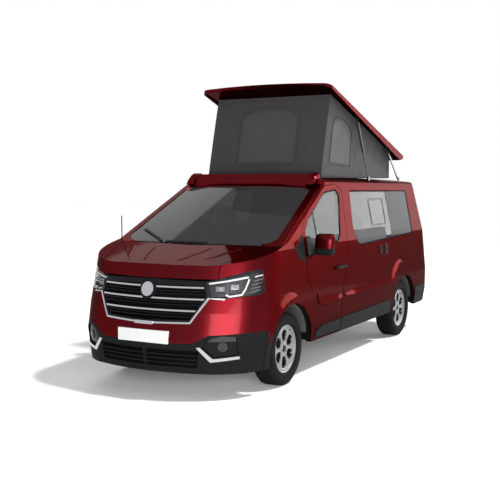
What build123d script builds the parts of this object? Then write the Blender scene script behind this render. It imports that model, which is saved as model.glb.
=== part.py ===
from build123d import *
from math import asin, cos, hypot, radians, sin
import os

os.makedirs("parts", exist_ok=True)

# Camper van with a rear-hinged pop-up roof, millimetres.  The front faces -Y,
# the driver's side is +X, and the origin is on the ground below the middle.

# ------------------------------------------------------------------ sizes
length = 5080
wheelbase = 3098
front_overhang = 1014
front_track = 1615
rear_track = 1628
nose_y = -length / 2
tail_y = length / 2
front_axle = nose_y + front_overhang
rear_axle = front_axle + wheelbase

wall = 55  # side wall and door thickness
roof_wall = 45  # roof and bonnet thickness, measured upright
nose_wall = 45
tail_wall = 70
glass = 6
glass_inset = 7
moving_gap = 6  # round doors and lids
dash_half = 820
seam = 0.8  # between panels that are fixed to each other
seat = 0.3  # between a lid and the seal that it closes on

tyre_radius = 343
tyre_width = 215
rim_radius = 222
front_arch = 425
rear_arch = 408
floor_top = 480
floor_thickness = 40

# Body outline seen from above at each height:
# height, half width, setback of the nose, setback of the tail
nose_half = 560
nose_radius = 1700
rear_corner = 150
tail_radius = 9000
hull_levels = [
    (235, 935, 40, 40),
    (520, 972, 0, 0),
    (760, 978, 48, 6),
    (1270, 942, 180, 48),
    (2010, 795, 410, 170),
]

# Centre line of bonnet, windscreen and roof, swept about an upright axis
sweep_centre = 2800
centre_line = [
    (nose_y + 126, 1046),
    (nose_y + 202, 1160),
    (nose_y + 775, 1303),
    (nose_y + 1900, 1866),
    (nose_y + 1940, 2050),
]
roof_crown = 1990
roof_edge = 1912
roof_fall = 0.012
crown_half = 1000
corner_round = 45


def plan_outline(height, half, nose, tail):
    """Closed outline of the body at one height."""
    turn = asin(nose_half / nose_radius)
    sag = nose_radius * (1 - cos(turn))
    corner = (half - nose_half) / (1 - sin(turn))
    side_front = nose + sag + corner * cos(turn)
    rear_half = half - rear_corner
    rear = tail - tail_radius * (1 - cos(asin(rear_half / tail_radius)))
    side_rear = rear - rear_corner
    with BuildSketch(Plane.XY.offset(height)) as outline:
        with BuildLine():
            ThreePointArc((-nose_half, nose + sag), (0, nose), (nose_half, nose + sag))
            RadiusArc((nose_half, nose + sag), (half, side_front), -corner)
            Line((half, side_front), (half, side_rear))
            RadiusArc((half, side_rear), (rear_half, rear), -rear_corner)
            ThreePointArc((rear_half, rear), (0, tail), (-rear_half, rear))
            RadiusArc((-rear_half, rear), (-half, side_rear), -rear_corner)
            Line((-half, side_rear), (-half, side_front))
            RadiusArc((-half, side_front), (-nose_half, nose + sag), -corner)
        make_face()
    return outline.sketch


def hull(side, nose, tail, drop, below=0):
    """The body's outer form, moved in by these amounts and down to `below`."""
    with BuildPart() as plan:
        for height, half, nose_back, tail_back in hull_levels:
            low = height - below if height == hull_levels[0][0] else height
            add(plan_outline(low, half - side, nose_y + nose_back + nose, tail_y - tail_back - tail))
        loft(ruled=True)
    with BuildPart() as swept:
        with BuildSketch(Plane.YZ):
            with BuildLine():
                front = [(y, z - drop) for y, z in centre_line]
                Polyline(
                    (sweep_centre, -200),
                    (nose_y - 360, -200),
                    (nose_y - 360, 560),
                    *front,
                    (sweep_centre, centre_line[-1][1] - drop),
                    close=True,
                )
            make_face()
        revolve(axis=Axis((0, sweep_centre, 0), (0, 0, 1)))
    with BuildPart() as crown:
        section = Plane(origin=(0, nose_y - 260, 0), x_dir=(-1, 0, 0), z_dir=(0, 1, -roof_fall))
        with BuildSketch(section):
            with BuildLine():
                edge = roof_edge - drop
                ThreePointArc((-crown_half, edge), (0, roof_crown - drop), (crown_half, edge))
                Polyline((crown_half, edge), (crown_half, -200), (-crown_half, -200), (-crown_half, edge))
            make_face()
        extrude(amount=length + 600)
    return plan.part & swept.part & crown.part


def side_slab(points, side, grow=0, round_by=0, inner=500, outer=1100):
    """Prism across the body's side, from its outline in the Y-Z plane."""
    with BuildPart() as slab:
        with BuildSketch(Plane.YZ.offset(side * inner)):
            with BuildLine():
                Polyline(*points, close=True)
            make_face()
            if round_by:
                fillet(vertices(), radius=round_by)
            if grow:
                offset(amount=grow, kind=Kind.INTERSECTION)
        extrude(amount=side * (outer - inner))
    return slab.part


def end_slab(points, rear, grow=0, round_by=0, inner=1500, outer=2800):
    """Prism along the body's end, from half its outline in the X-Z plane."""
    y = inner if rear else -inner
    with BuildPart() as slab:
        with BuildSketch(Plane(origin=(0, y, 0), x_dir=(1, 0, 0), z_dir=(0, -1, 0))):
            with BuildLine():
                mirrored = [(-x, z) for x, z in reversed(points) if x > 0]
                Polyline(*points, *mirrored, close=True)
            make_face()
            if round_by:
                fillet(vertices(), radius=round_by)
            if grow:
                offset(amount=grow, kind=Kind.INTERSECTION)
        extrude(amount=(inner - outer) if rear else (outer - inner))
    return slab.part


def top_slab(points, low, high, grow=0):
    """Upright prism from half its outline in the X-Y plane."""
    with BuildPart() as slab:
        with BuildSketch(Plane.XY.offset(low)):
            with BuildLine():
                mirrored = [(-x, y) for x, y in reversed(points) if x > 0]
                Polyline(*points, *mirrored, close=True)
            make_face()
            if grow:
                offset(amount=grow, kind=Kind.INTERSECTION)
        extrude(amount=high - low)
    return slab.part


def block(x0, x1, y0, y1, z0, z1):
    with BuildPart() as brick:
        with BuildSketch(Plane.XY.offset(z0)):
            with Locations(((x0 + x1) / 2, (y0 + y1) / 2)):
                Rectangle(x1 - x0, y1 - y0)
        extrude(amount=z1 - z0)
    return brick.part


def biggest(piece, count=1):
    """The piece without the slivers that crossing cuts leave."""
    solids = sorted(piece.solids(), key=lambda solid: solid.volume)[-count:]
    return Part() + solids


def save(piece, name):
    piece.label = name
    export_step(piece, f"parts/{name}.step")


# ------------------------------------------------------------------ hulls
with BuildPart() as outer:
    add(hull(0, 0, 0, 0))
    roof_sides = outer.edges().filter_by(lambda e: (e @ 0.5).Z > 1850 and (e @ 0.5).Y < 2300)
    pillars = outer.edges().filter_by(
        lambda e: 1320 < (e @ 0.5).Z < 1850 and abs((e @ 0.5).X) > 600 and (e @ 0.5).Y < 0
    )
    fillet([e for e in roof_sides + pillars if abs((e @ 0.5).X) > 600], radius=corner_round)
inner = hull(wall, nose_wall, tail_wall, roof_wall, below=120)
shell = outer.part - inner
pane_depth = glass_inset + glass
glass_outer = hull(glass_inset, glass_inset, glass_inset, glass_inset)
glass_inner = hull(pane_depth, pane_depth, pane_depth, pane_depth)

# ------------------------------------------------------------------ outlines
sill_z = 345
door_y = (-1015, -400)  # front and rear edge of the front door at the sill
hinge_y = -1215
door_inner = 700  # the doors take nothing of the roof inside this
front_door = [
    (door_y[0], sill_z + 20),
    (door_y[0], 740),
    (hinge_y + 7, 985),
    (hinge_y + 7, 1445),
    (-1080, 1560),
    (-590, 1838),
    (-250, 1862),
    (-120, 1800),
    (-166, 1341),
    (-190, 1050),
    (-361, 788),
    (door_y[1], 600),
    (door_y[1], sill_z + 20),
]
front_window = [
    (hinge_y + 50, 1200),
    (hinge_y + 50, 1420),
    (-1044, 1530),
    (-560, 1785),
    (-260, 1812),
    (-190, 1740),
    (-330, 1340),
    (-420, 1275),
    (-1120, 1165),
]
sail_panel = [
    (hinge_y - 8, 1130),
    (hinge_y - 8, 1400),
    (-1435, 1270),
    (-1328, 1155),
]
side_window = [(110, 1795), (30, 1390), (110, 1235), (190, 1200), (1930, 1250), (1930, 1780)]
sliding_door = [(-70, 1840), (-120, 1341), (-140, 1050), (-310, 788), (-350, 600), (-350, 365)]
sliding_door += [(1010, 365), (1010, 620), (1085, 800), (1085, 1840)]
sliding_window = [(110, 1795), (30, 1390), (110, 1235), (190, 1200), (1010, 1224), (1010, 1785)]
quarter_window = [(1160, 1785), (1160, 1228), (1930, 1250), (1930, 1780)]
wing = [
    (-1985, 1250),
    (-1700, 1360),
    (-1500, 1360),
    (hinge_y + 20, 1130),
    (hinge_y + 20, 1000),
    (-960, 700),
    (-960, 120),
    (-1985, 120),
]
bonnet_plan = [(0, -1800), (740, -1715), (800, -1790), (640, -2210), (545, -2700), (0, -2700)]
bonnet_low = 1048
cowl_plan = [(0, -1860), (700, -1790), (745, -1740), (745, -1690), (690, -1660), (0, -1700)]
windscreen_plan = [(0, -1745), (500, -1716), (690, -1690), (790, -1640), (828, -1560)]
windscreen_plan += [(742, -690), (690, -655), (0, -690)]
tailgate = [(0, 590), (860, 590), (880, 700), (880, 1000), (850, 1250), (800, 1550)]
tailgate += [(752, 1790), (700, 1850), (0, 1872)]
tailgate_inner_y = 2300
tail_window = [(0, 1190), (730, 1190), (770, 1240), (700, 1700), (640, 1740), (0, 1760)]
grille_face = [(0, 672), (437, 685), (567, 893), (529, 1030), (0, 1042)]
lamp_face = [(567, 893), (700, 885), (905, 905), (985, 1000), (1000, 1150)]
lamp_face += [(936, 1140), (544, 1027), (529, 1025)]
grille_opening = [(0, 690), (428, 702), (548, 893), (520, 990), (0, 996)]
chrome_band = [(0, 657), (446, 670), (583, 884), (700, 874), (700, 885), (567, 893), (437, 685), (0, 672)]
fog_recess = [(548, 470), (640, 378), (812, 398), (806, 560), (700, 570), (600, 540)]
fog_trim = [(503, 468), (535, 474), (634, 372), (815, 392), (818, 368), (612, 342)]

# Linkage points in the side view, with the roof open
arm_foot = (1950, 1925)
arm_head = (1502, 2320)
strut_foot = (913, 1925)
strut_head = (561, 2597)
link_x = 735
link_half = 6

# ------------------------------------------------------------------ wheel arches
with BuildPart() as arches:
    for axle, arch in ((front_axle, front_arch), (rear_axle, rear_arch)):
        with BuildSketch(Plane.YZ):
            with Locations((axle, tyre_radius)):
                Circle(arch)
        extrude(amount=1100, both=True)
    add(block(-500, 500, -3000, 3000, -500, 1200), mode=Mode.SUBTRACT)
arch_cut = arches.part

# ------------------------------------------------------------------ cutting zones
tow_socket = (-450, 411, 2440)  # x and z of the rear towing eye's thread, y of its mouth
tow_bore = 10
tow_depth = 80
tow_access = 36
front_y = nose_y + 555  # rear edge of the bumper and grille
hatch = (580, -250, 1650)  # half width, front and rear of the roof hatch
tail_seam = 575
firewall_y = -1430
far = 1100
ahead = block(-far, far, nose_y - 200, front_y, 0, 1400)
bonnet_zone = top_slab(bonnet_plan, bonnet_low, 1400)
bonnet_hole = top_slab(bonnet_plan, bonnet_low - moving_gap, 1400, grow=moving_gap)
screen_zone = top_slab(windscreen_plan, 1200, 2100)
cowl_zone = top_slab(cowl_plan, 1200, 1400)
cowl_hole = top_slab(cowl_plan, 1200, 1400, grow=seam)
tail_zone = end_slab(tailgate, True, inner=tailgate_inner_y + moving_gap)
tail_hole = end_slab(tailgate, True, grow=moving_gap, inner=tailgate_inner_y)
door_hole = [side_slab(front_door, side, grow=moving_gap, inner=door_inner) for side in (1, -1)]
wing_zone = [side_slab(wing, side, inner=620) for side in (1, -1)]
wing_hole = [side_slab(wing, side, grow=seam, inner=620) for side in (1, -1)]
sail_zone = [side_slab(sail_panel, side) for side in (1, -1)]
slide_hole = side_slab(sliding_door, -1, grow=seam)
rear_low = block(-far, far, 2330, 2800, 0, tail_seam)
window_left = side_slab(side_window, 1)
window_right = side_slab(quarter_window, -1)
sill = block(-far, far, -1300, 2800, 0, sill_z)
cabin = shell - [ahead, rear_low, sill]
nose = shell & ahead

grille_top = 1040


def nose_slab(points, side, grow=0):
    """Prism along Y over one side of the nose, from its outline in the X-Z plane."""
    with BuildPart() as slab:
        with BuildSketch(Plane(origin=(0, -1500, 0), x_dir=(1, 0, 0), z_dir=(0, -1, 0))):
            with BuildLine():
                Polyline(*[(side * x, z) for x, z in points], close=True)
            make_face()
            if grow:
                offset(amount=grow, kind=Kind.INTERSECTION)
        extrude(amount=1300)
    return slab.part


lamp_zone = [nose_slab(lamp_face, side) for side in (1, -1)]
lamp_hole = [nose_slab(lamp_face, side, grow=seam) for side in (1, -1)]
fog_zone = [nose_slab(fog_recess, side) for side in (1, -1)]
above_grille = block(-far, far, nose_y - 200, 0, grille_top, 1500)
tail_lamp_zone = [block(*sorted((side * 800, side * far)), 2370, 2700, 930, 1345) for side in (1, -1)]
tail_lamp_hole = [
    block(*sorted((side * 800, side * far)), 2370 - seam, 2700, 930 - seam, 1345 + seam)
    for side in (1, -1)
]

# ------------------------------------------------------------------ body
with BuildPart() as body_shell:
    add(cabin)
    hatch_hole = block(-hatch[0], hatch[0], hatch[1], hatch[2], 1700, 2100)
    cuts = [arch_cut, bonnet_hole, cowl_hole, screen_zone, tail_hole]
    cuts += [hatch_hole, window_left, slide_hole, window_right]
    add(cuts + door_hole + wing_hole + sail_zone + tail_lamp_hole, mode=Mode.SUBTRACT)
    for side in (1, -1):
        x0, x1 = sorted((side * 430, side * 530))
        add(Pos(0, -2 * seat, 1) * (inner & block(x0, x1, 2180, 2420, 1800, 1960)))
save(biggest(body_shell.part), "body_shell")

with BuildPart() as front_wings:
    add([cabin & zone for zone in wing_zone])
    add((nose & above_grille) - lamp_hole)
    add(door_hole + sail_zone + [arch_cut, bonnet_hole, cowl_hole, screen_zone], mode=Mode.SUBTRACT)
save(biggest(front_wings.part, 2), "front_wings")

with BuildPart() as sail_panels:
    add([cabin & zone for zone in sail_zone])
    add(door_hole + [bonnet_hole, screen_zone], mode=Mode.SUBTRACT)
save(biggest(sail_panels.part, 2), "sail_panels")

with BuildPart() as rear_bumper:
    add(shell & rear_low)
    with BuildSketch(Plane.XZ.offset(-2200)):
        with Locations(tow_socket[:2]):
            Circle(tow_access)
    tow_way = extrude(amount=-400, mode=Mode.PRIVATE)
    add([arch_cut, sill, tow_way], mode=Mode.SUBTRACT)
save(biggest(rear_bumper.part), "rear_bumper")

with BuildPart() as tail_lamps:
    add([cabin & zone for zone in tail_lamp_zone])
    add(tail_hole, mode=Mode.SUBTRACT)
save(biggest(tail_lamps.part, 2), "tail_lamps")

with BuildPart() as bonnet:
    add(shell & bonnet_zone)
save(biggest(bonnet.part), "bonnet")

with BuildPart() as cowl:
    add(shell & cowl_zone)
    add([bonnet_hole, screen_zone], mode=Mode.SUBTRACT)
    shelf = inner & (
        block(-690, 690, -1830, firewall_y, 1185, 1215) + block(-690, 690, -1830, -1740, 1185, 1400)
    )
    add(Pos(0, 0, -seat) * shelf)
    add(Pos(0, 0, -seat) * (inner & block(-600, 600, -1800, -1700, 1190, 1400)))
save(biggest(cowl.part), "cowl")

# ------------------------------------------------------------------ front end
bumper_low = [(0, 120), (far, 120), (far, 600), (600, 575), (470, 500), (0, 500)]
intake = [(0, 290), (500, 290), (520, 440), (0, 440)]

slat_levels = (315, 352, 389)
slat = 12
slat_set_back = 9
with BuildPart() as lower_bumper:
    add(nose & end_slab(bumper_low, False))
    add([arch_cut, end_slab(intake, False)] + fog_zone, mode=Mode.SUBTRACT)
    rows = [block(-far, far, nose_y - 200, front_y, low, low + slat) for low in slat_levels]
    rows.append(block(-14, 14, nose_y - 200, front_y, 0, 600))
    intake_ribs = [nose & row & end_slab(intake, False, grow=2) for row in rows]
    add([Pos(0, slat_set_back, 0) * rib for rib in intake_ribs])
save(biggest(lower_bumper.part), "lower_bumper")

fog_depth = 24
save(Part() + [Pos(0, fog_depth, 0) * (nose & zone) for zone in fog_zone], "fog_lamps")

with BuildPart() as front_bumper:
    add(nose)
    cuts = [end_slab(bumper_low, False, grow=seam), end_slab(grille_face, False, grow=seam)]
    cuts += [arch_cut, above_grille]
    add(cuts + lamp_hole + [bonnet_hole], mode=Mode.SUBTRACT)
save(biggest(front_bumper.part), "front_bumper")

with BuildPart() as headlamps:
    add([nose & zone for zone in lamp_zone])
    add([bonnet_hole, end_slab(grille_face, False, grow=seam)], mode=Mode.SUBTRACT)
save(biggest(headlamps.part, 2), "headlamps")

bar_levels = (771, 870, 968)
bar = 14
mesh_levels = (722, 746, 822, 846, 912, 936)
slat_back = 10
badge_z = 950
badge_radius = 62
housing_radius = 86
housing_out = 8


def badge_disc(radius):
    with BuildPart() as disc:
        with BuildSketch(Plane.XZ.offset(2300)):
            with Locations((0, badge_z)):
                Circle(radius)
        extrude(amount=500)
    return disc.part


def proud(zone, amount, under=0):
    """Skin that stands off the nose by `amount`, from a level of `under`."""
    return ((Pos(0, -amount, 0) * nose) & zone) - (Pos(0, -under, 0) * nose)


housing_zone = badge_disc(housing_radius)
opening = end_slab(grille_opening, False)
mesh = nose & opening
with BuildPart() as grille:
    add(nose & end_slab(grille_face, False))
    add([opening, bonnet_hole], mode=Mode.SUBTRACT)
    slats = [mesh & block(-far, far, nose_y - 200, front_y, low, low + 8) for low in mesh_levels]
    add([Pos(0, slat_back, 0) * piece for piece in slats])
    add((Pos(0, -housing_out, 0) * nose) & (housing_zone - bonnet_hole))
save(biggest(grille.part), "grille")

with BuildPart() as chrome_trim:
    bars = [mesh & block(-far, far, nose_y - 200, front_y, low, low + bar) for low in bar_levels]
    add([Pos(0, -3, 0) * piece for piece in bars])
    add([housing_zone, Pos(0, slat_back + 15, 0) * mesh], mode=Mode.SUBTRACT)
    add(proud(end_slab(chrome_band, False), 6))
    add(proud(block(-95, 95, nose_y - 200, -2300, 650, 678), 9))
    add([proud(nose_slab(fog_trim, side), 5) for side in (1, -1)])
    add(proud(badge_disc(badge_radius), housing_out + 5, housing_out))
save(chrome_trim.part, "chrome_trim")

plate = (260, 492, 602)  # half width, lower and upper edge of the blank plate
with BuildPart() as front_plate:
    add(block(-plate[0], plate[0], nose_y, nose_y + 60, plate[1], plate[2]))
    add(outer.part, mode=Mode.SUBTRACT)
save(biggest(front_plate.part), "front_plate")

# ------------------------------------------------------------------ wipers and antenna
wiper_blades = [((-350, -1722), (-700, -1500)), ((170, -1738), (-290, -1735))]
wiper_half = 9
with BuildPart() as wipers:
    for (x0, y0), (x1, y1) in wiper_blades:
        reach = hypot(x1 - x0, y1 - y0)
        along = ((x1 - x0) / reach * wiper_half, (y1 - y0) / reach * wiper_half)
        strip_corners = [
            (x0 - along[1], y0 + along[0]),
            (x0 + along[1], y0 - along[0]),
            (x1 + along[1], y1 - along[0]),
            (x1 - along[1], y1 + along[0]),
        ]
        with BuildPart(mode=Mode.PRIVATE) as strip:
            with BuildSketch(Plane.XY.offset(1200)):
                with BuildLine():
                    Polyline(*strip_corners, close=True)
                make_face()
            extrude(amount=700)
        add(((Pos(0, -2, 8) * outer.part) & strip.part) - glass_outer)
    add([cowl.part, body_shell.part], mode=Mode.SUBTRACT)
save(biggest(wipers.part, 2), "wipers")

antenna_place = (-850, -1690)
with BuildPart() as antenna:
    with BuildSketch(Plane.XY.offset(1180)):
        with Locations(antenna_place):
            Circle(5)
    extrude(amount=370)
    with BuildSketch(Plane.XY.offset(1180)):
        with Locations(antenna_place):
            Circle(14)
    extrude(amount=95)
    add(outer.part, mode=Mode.SUBTRACT)
save(biggest(antenna.part), "antenna")

# ------------------------------------------------------------------ glass
def pane(zone):
    return (glass_outer & zone) - glass_inner


save(pane(screen_zone), "windscreen")
side_panes = [pane(zone) for zone in (window_left, side_slab(sliding_window, -1), window_right)]
save(Part() + side_panes, "side_glass")

# ------------------------------------------------------------------ doors
mirror_place = (1048, -985, 1285)  # centre of the left mirror's head
mirror_head = (170, 190, 110)
for side, place in ((1, "left"), (-1, "right")):
    door_zone = side_slab(front_door, side, inner=door_inner)
    window_zone = side_slab(front_window, side, round_by=20)
    with BuildPart() as door:
        add(shell & door_zone)
        add(window_zone, mode=Mode.SUBTRACT)
    save(biggest(door.part), f"front_door_{place}")
    save(pane(window_zone), f"door_glass_{place}")
    with BuildPart() as mirror:
        face = Plane(
            origin=(side * mirror_place[0], mirror_place[1], mirror_place[2]),
            x_dir=(1, 0, 0),
            z_dir=(0, -1, 0),
        )
        with BuildSketch(face):
            RectangleRounded(mirror_head[0], mirror_head[1], 35)
        extrude(amount=mirror_head[2] / 2, both=True)
        fillet(edges(), radius=18)
        stalk = sorted((side * 900, side * (mirror_place[0] - 60)))
        stalk_y = (mirror_place[1] - 30, mirror_place[1] + 30)
        add(block(*stalk, *stalk_y, mirror_place[2] - 100, mirror_place[2] - 50))
        add(outer.part, mode=Mode.SUBTRACT)
    save(biggest(mirror.part), f"mirror_{place}")

trim_out = 7
handle_span = (-520, -270)
handle_low = 1004
door_cladding = [(-1009, 369), (-1009, 430), (-881, 478), (-407, 486), (-407, 369)]
side_cladding = [(-390, 349), (-390, 488), (960, 506), (1080, 506), (1100, 349)]


def cladding(points, side):
    return ((Pos(side * trim_out, 0, 0) * outer.part) & side_slab(points, side)) - outer.part


def handle(side, first, last):
    x0, x1 = sorted((side * 930, side * 988))
    grip = block(x0, x1, first, last, handle_low, handle_low + 26)
    x0, x1 = sorted((side * 900, side * 976))
    grip -= block(x0, x1, first + 40, last - 40, handle_low - 5, handle_low + 40)
    return grip - outer.part


for side, place in ((1, "left"), (-1, "right")):
    save(Part() + [cladding(door_cladding, side), handle(side, *handle_span)], f"door_trim_{place}")
trims = [cladding(side_cladding, side) - arch_cut for side in (1, -1)]
save(Part() + trims + [handle(-1, -60, 190)], "side_trim")

with BuildPart() as slide:
    add(shell & side_slab(sliding_door, -1))
    add([arch_cut, side_slab(sliding_window, -1)], mode=Mode.SUBTRACT)
save(biggest(slide.part), "sliding_door")

with BuildPart() as gate:
    add(shell & tail_zone)
    add(end_slab(tail_window, True), mode=Mode.SUBTRACT)
save(biggest(gate.part), "tailgate")
save(pane(end_slab(tail_window, True)), "tailgate_glass")

# ------------------------------------------------ mounts that doors, arms and struts turn on
with BuildPart() as hinges:
    for side in (1, -1):
        x0, x1 = sorted((side * (dash_half + 2 * seat), side * 1000))
        add(Pos(-side * seat, 0, 0) * (inner & block(x0, x1, -1250, -1130, 780, 1100)))
        x0, x1 = sorted((side * (link_x + link_half + seat), side * (link_x + link_half + 12)))
        for y, z in (arm_foot, strut_foot):
            add(block(x0, x1, y - 22, y + 22, z - 60, z + 20) - outer.part)
save(hinges.part, "hinge_mounts")

# ------------------------------------------------------------------ floor, firewall and wheel houses
firewall = 30
house = 15
floor_edge = 905
house_inner = (490, 680)  # inner end of the front and the rear wheel houses
with BuildPart() as floor_pan:
    add(block(-1000, 1000, firewall_y, 2480, floor_top - floor_thickness, floor_top))
    add(block(-1000, 1000, firewall_y, firewall_y + firewall, floor_top, 1240))
    for axle, arch, low in ((front_axle, front_arch, house_inner[0]), (rear_axle, rear_arch, house_inner[1])):
        for side in (1, -1):
            with BuildSketch(Plane.YZ.offset(side * (low - house))):
                with Locations((axle, tyre_radius)):
                    Circle(arch)
            extrude(amount=side * 600)
            with BuildSketch(Plane.YZ.offset(side * low)):
                with Locations((axle, tyre_radius)):
                    Circle(arch - house)
            extrude(amount=side * 600, mode=Mode.SUBTRACT)
    below = block(-1100, 1100, -3000, 3000, -500, floor_top - floor_thickness)
    bay = block(-1100, 1100, -3000, firewall_y, -500, 1500)
    door_sill = [block(x - 100, x + 100, -1080, -300, 0, 1400) for x in (floor_edge + 100, -floor_edge - 100)]
    add([below, bay] + door_sill, mode=Mode.SUBTRACT)
    add(inner, mode=Mode.INTERSECT)
    x, z, mouth = tow_socket
    add(block(x - 24, x + 24, mouth - 120, mouth, z - 24, floor_top - floor_thickness))
    with BuildSketch(Plane.XZ.offset(-mouth)):
        with Locations((x, z)):
            Circle(tow_bore)
    extrude(amount=tow_depth, mode=Mode.SUBTRACT)
save(biggest(floor_pan.part), "floor_pan")

# ------------------------------------------------------------------ running gear
rim_width = 165
cover_face = 78  # wheel cover ahead of the tyre's middle plane
hub_radius = 62
pocket_count = 10
pockets = (72, 165, 26)  # inner radius, outer radius, half width of a cover pocket
tread_round = 28

corners = []
for name, axle, track in (("front", front_axle, front_track), ("rear", rear_axle, rear_track)):
    for side, place in ((1, "left"), (-1, "right")):
        corners.append((f"{name}_{place}", side, axle, track / 2))

for name, side, axle, middle in corners:
    turn_plane = Plane(origin=(side * middle, axle, tyre_radius), x_dir=(0, 0, 1), z_dir=(0, side, 0))
    spin = Axis((side * middle, axle, tyre_radius), (1, 0, 0))
    with BuildPart() as tyre:
        with BuildSketch(turn_plane):
            with BuildLine():
                bead = tyre_width / 2 - 16
                Polyline(
                    (rim_radius, -bead),
                    (rim_radius + 30, -tyre_width / 2),
                    (tyre_radius - 40, -tyre_width / 2),
                    (tyre_radius, -tyre_width / 2 + tread_round),
                    (tyre_radius, tyre_width / 2 - tread_round),
                    (tyre_radius - 40, tyre_width / 2),
                    (rim_radius + 30, tyre_width / 2),
                    (rim_radius, bead),
                    close=True,
                )
            make_face()
        revolve(axis=spin)
    save(tyre.part, f"tyre_{name}")

    with BuildPart() as wheel:
        with BuildSketch(turn_plane):
            with BuildLine():
                # radius, distance outwards along the axle
                Polyline(
                    (0, 10),
                    (hub_radius, 10),
                    (rim_radius - 40, 40),
                    (rim_radius - 22, -rim_width / 2),
                    (rim_radius, -rim_width / 2),
                    (rim_radius, rim_width / 2),
                    (rim_radius - 8, rim_width / 2 + 6),
                    (rim_radius - 20, cover_face),
                    (90, cover_face - 8),
                    (60, cover_face),
                    (0, cover_face),
                    close=True,
                )
            make_face()
        revolve(axis=spin)
        cover = Plane(
            origin=(side * (middle + cover_face + 20), axle, tyre_radius),
            x_dir=(0, 1, 0),
            z_dir=(-side, 0, 0),
        )
        with BuildSketch(cover):
            with PolarLocations((pockets[0] + pockets[1]) / 2, pocket_count):
                Trapezoid(pockets[2] * 1.5, pockets[1] - pockets[0], 80, rotation=90)
        extrude(amount=42, mode=Mode.SUBTRACT)
    save(biggest(wheel.part), f"wheel_{name}")

king_pin_x = 720  # steering axis, from the middle
hub_gap = 0.3
knuckle_low = tyre_radius - 150
knuckle_high = tyre_radius + 140
for side, place in ((1, "left"), (-1, "right")):
    with BuildPart() as knuckle:
        x_hub = front_track / 2 + 10 - hub_gap
        with BuildSketch(Plane.YZ.offset(side * king_pin_x)):
            with Locations((front_axle, tyre_radius)):
                Circle(hub_radius)
        extrude(amount=side * (x_hub - king_pin_x))
        x0, x1 = sorted((side * (king_pin_x - 25), side * (king_pin_x + 25)))
        add(block(x0, x1, front_axle - 30, front_axle + 30, knuckle_low, knuckle_high))
    save(knuckle.part, f"knuckle_{place}")

tower_x = 630
tower_radius = 35
with BuildPart() as front_subframe:
    add(block(-400, 400, front_axle - 160, front_axle + 200, 160, 230))
    for side in (1, -1):
        x0, x1 = sorted((side * 390, side * (king_pin_x + 25)))
        add(block(x0, x1, front_axle - 40, front_axle + 40, 160, knuckle_low - hub_gap))
        x0, x1 = sorted((side * (tower_x - 40), side * (king_pin_x + 25)))
        add(block(x0, x1, front_axle - 35, front_axle + 35, knuckle_high + hub_gap, knuckle_high + 28))
        with BuildSketch(Plane.XY.offset(knuckle_high + 10)):
            with Locations((side * tower_x, front_axle)):
                Circle(tower_radius)
        extrude(amount=480)
        rail = sorted((side * 400, side * 470))
        add(block(rail[0], rail[1], nose_y + 290, firewall_y - hub_gap, 470, 560))
        add(block(rail[0], rail[1], front_axle - 60, front_axle + 60, 180, 480))
        brace = sorted((side * 460, side * (tower_x - 20)))
        add(block(brace[0], brace[1], front_axle - 30, front_axle + 30, knuckle_high + 60, knuckle_high + 90))
        add(block(rail[0], rail[1], front_axle - 30, front_axle + 30, 550, knuckle_high + 90))
    add(block(-560, 560, nose_y + 290, nose_y + 320, 300, 900))
save(front_subframe.part, "front_subframe")

beam_radius = 55
with BuildPart() as rear_axle_beam:
    with BuildSketch(Plane.YZ.offset(-(rear_track / 2 + 10 - hub_gap))):
        with Locations((rear_axle, tyre_radius)):
            Circle(beam_radius)
    extrude(amount=rear_track + 20 - 2 * hub_gap)
    for side in (1, -1):
        x0, x1 = sorted((side * 500, side * 570))
        add(block(x0, x1, rear_axle - 520, rear_axle + 20, tyre_radius - 35, tyre_radius + 35))
        stub = (rear_axle - 560, rear_axle - 500)
        add(block(x0, x1, *stub, tyre_radius - 35, floor_top - floor_thickness - hub_gap))
save(rear_axle_beam.part, "rear_axle")

with BuildPart() as engine:
    engine_half = 400 - hub_gap
    add(block(-engine_half, engine_half, front_axle - 450, front_axle + 60, 520, 960))
save(engine.part, "engine")

with BuildPart() as fuel_tank:
    add(block(-500, 100, -600, 500, 215, floor_top - floor_thickness - hub_gap))
    fillet(edges().filter_by(Axis.Z), radius=60)
save(fuel_tank.part, "fuel_tank")

with BuildPart() as exhaust:
    with BuildSketch(Plane.XZ.offset(600)):
        with Locations((330, 300)):
            Circle(28)
    extrude(amount=-1500)
    with BuildSketch(Plane.XZ.offset(-900)):
        with Locations((330, 310)):
            Ellipse(130, 75)
    extrude(amount=-420)
    for y in (950, 1270):
        add(block(310, 350, y, y + 20, 370, floor_top - floor_thickness - hub_gap))
    add(block(310, 350, -500, -480, 320, floor_top - floor_thickness - hub_gap))
save(exhaust.part, "exhaust")

# ------------------------------------------------------------------ inside
seat_half = 250
seat_x = 420
with BuildPart() as seat_bases:
    for side in (1, -1):
        add(block(side * seat_x - 220, side * seat_x + 220, -1000, -560, floor_top, 700))
save(seat_bases.part, "seat_bases")
with BuildPart() as front_seats:
    for side in (1, -1):
        add(block(side * seat_x - seat_half, side * seat_x + seat_half, -1060, -540, 700 + seat, 840))
        lean = Plane(origin=(side * seat_x, -560, 800), x_dir=(1, 0, 0), z_dir=(0, 0.26, 0.966))
        with BuildSketch(lean):
            Rectangle(2 * seat_half - 20, 120)
        extrude(amount=640)
        with BuildSketch(lean.offset(660)):
            Rectangle(260, 90)
        extrude(amount=180)
        with BuildSketch(lean.offset(630)):
            Rectangle(80, 20)
        extrude(amount=40)
save(front_seats.part, "front_seats")

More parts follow.
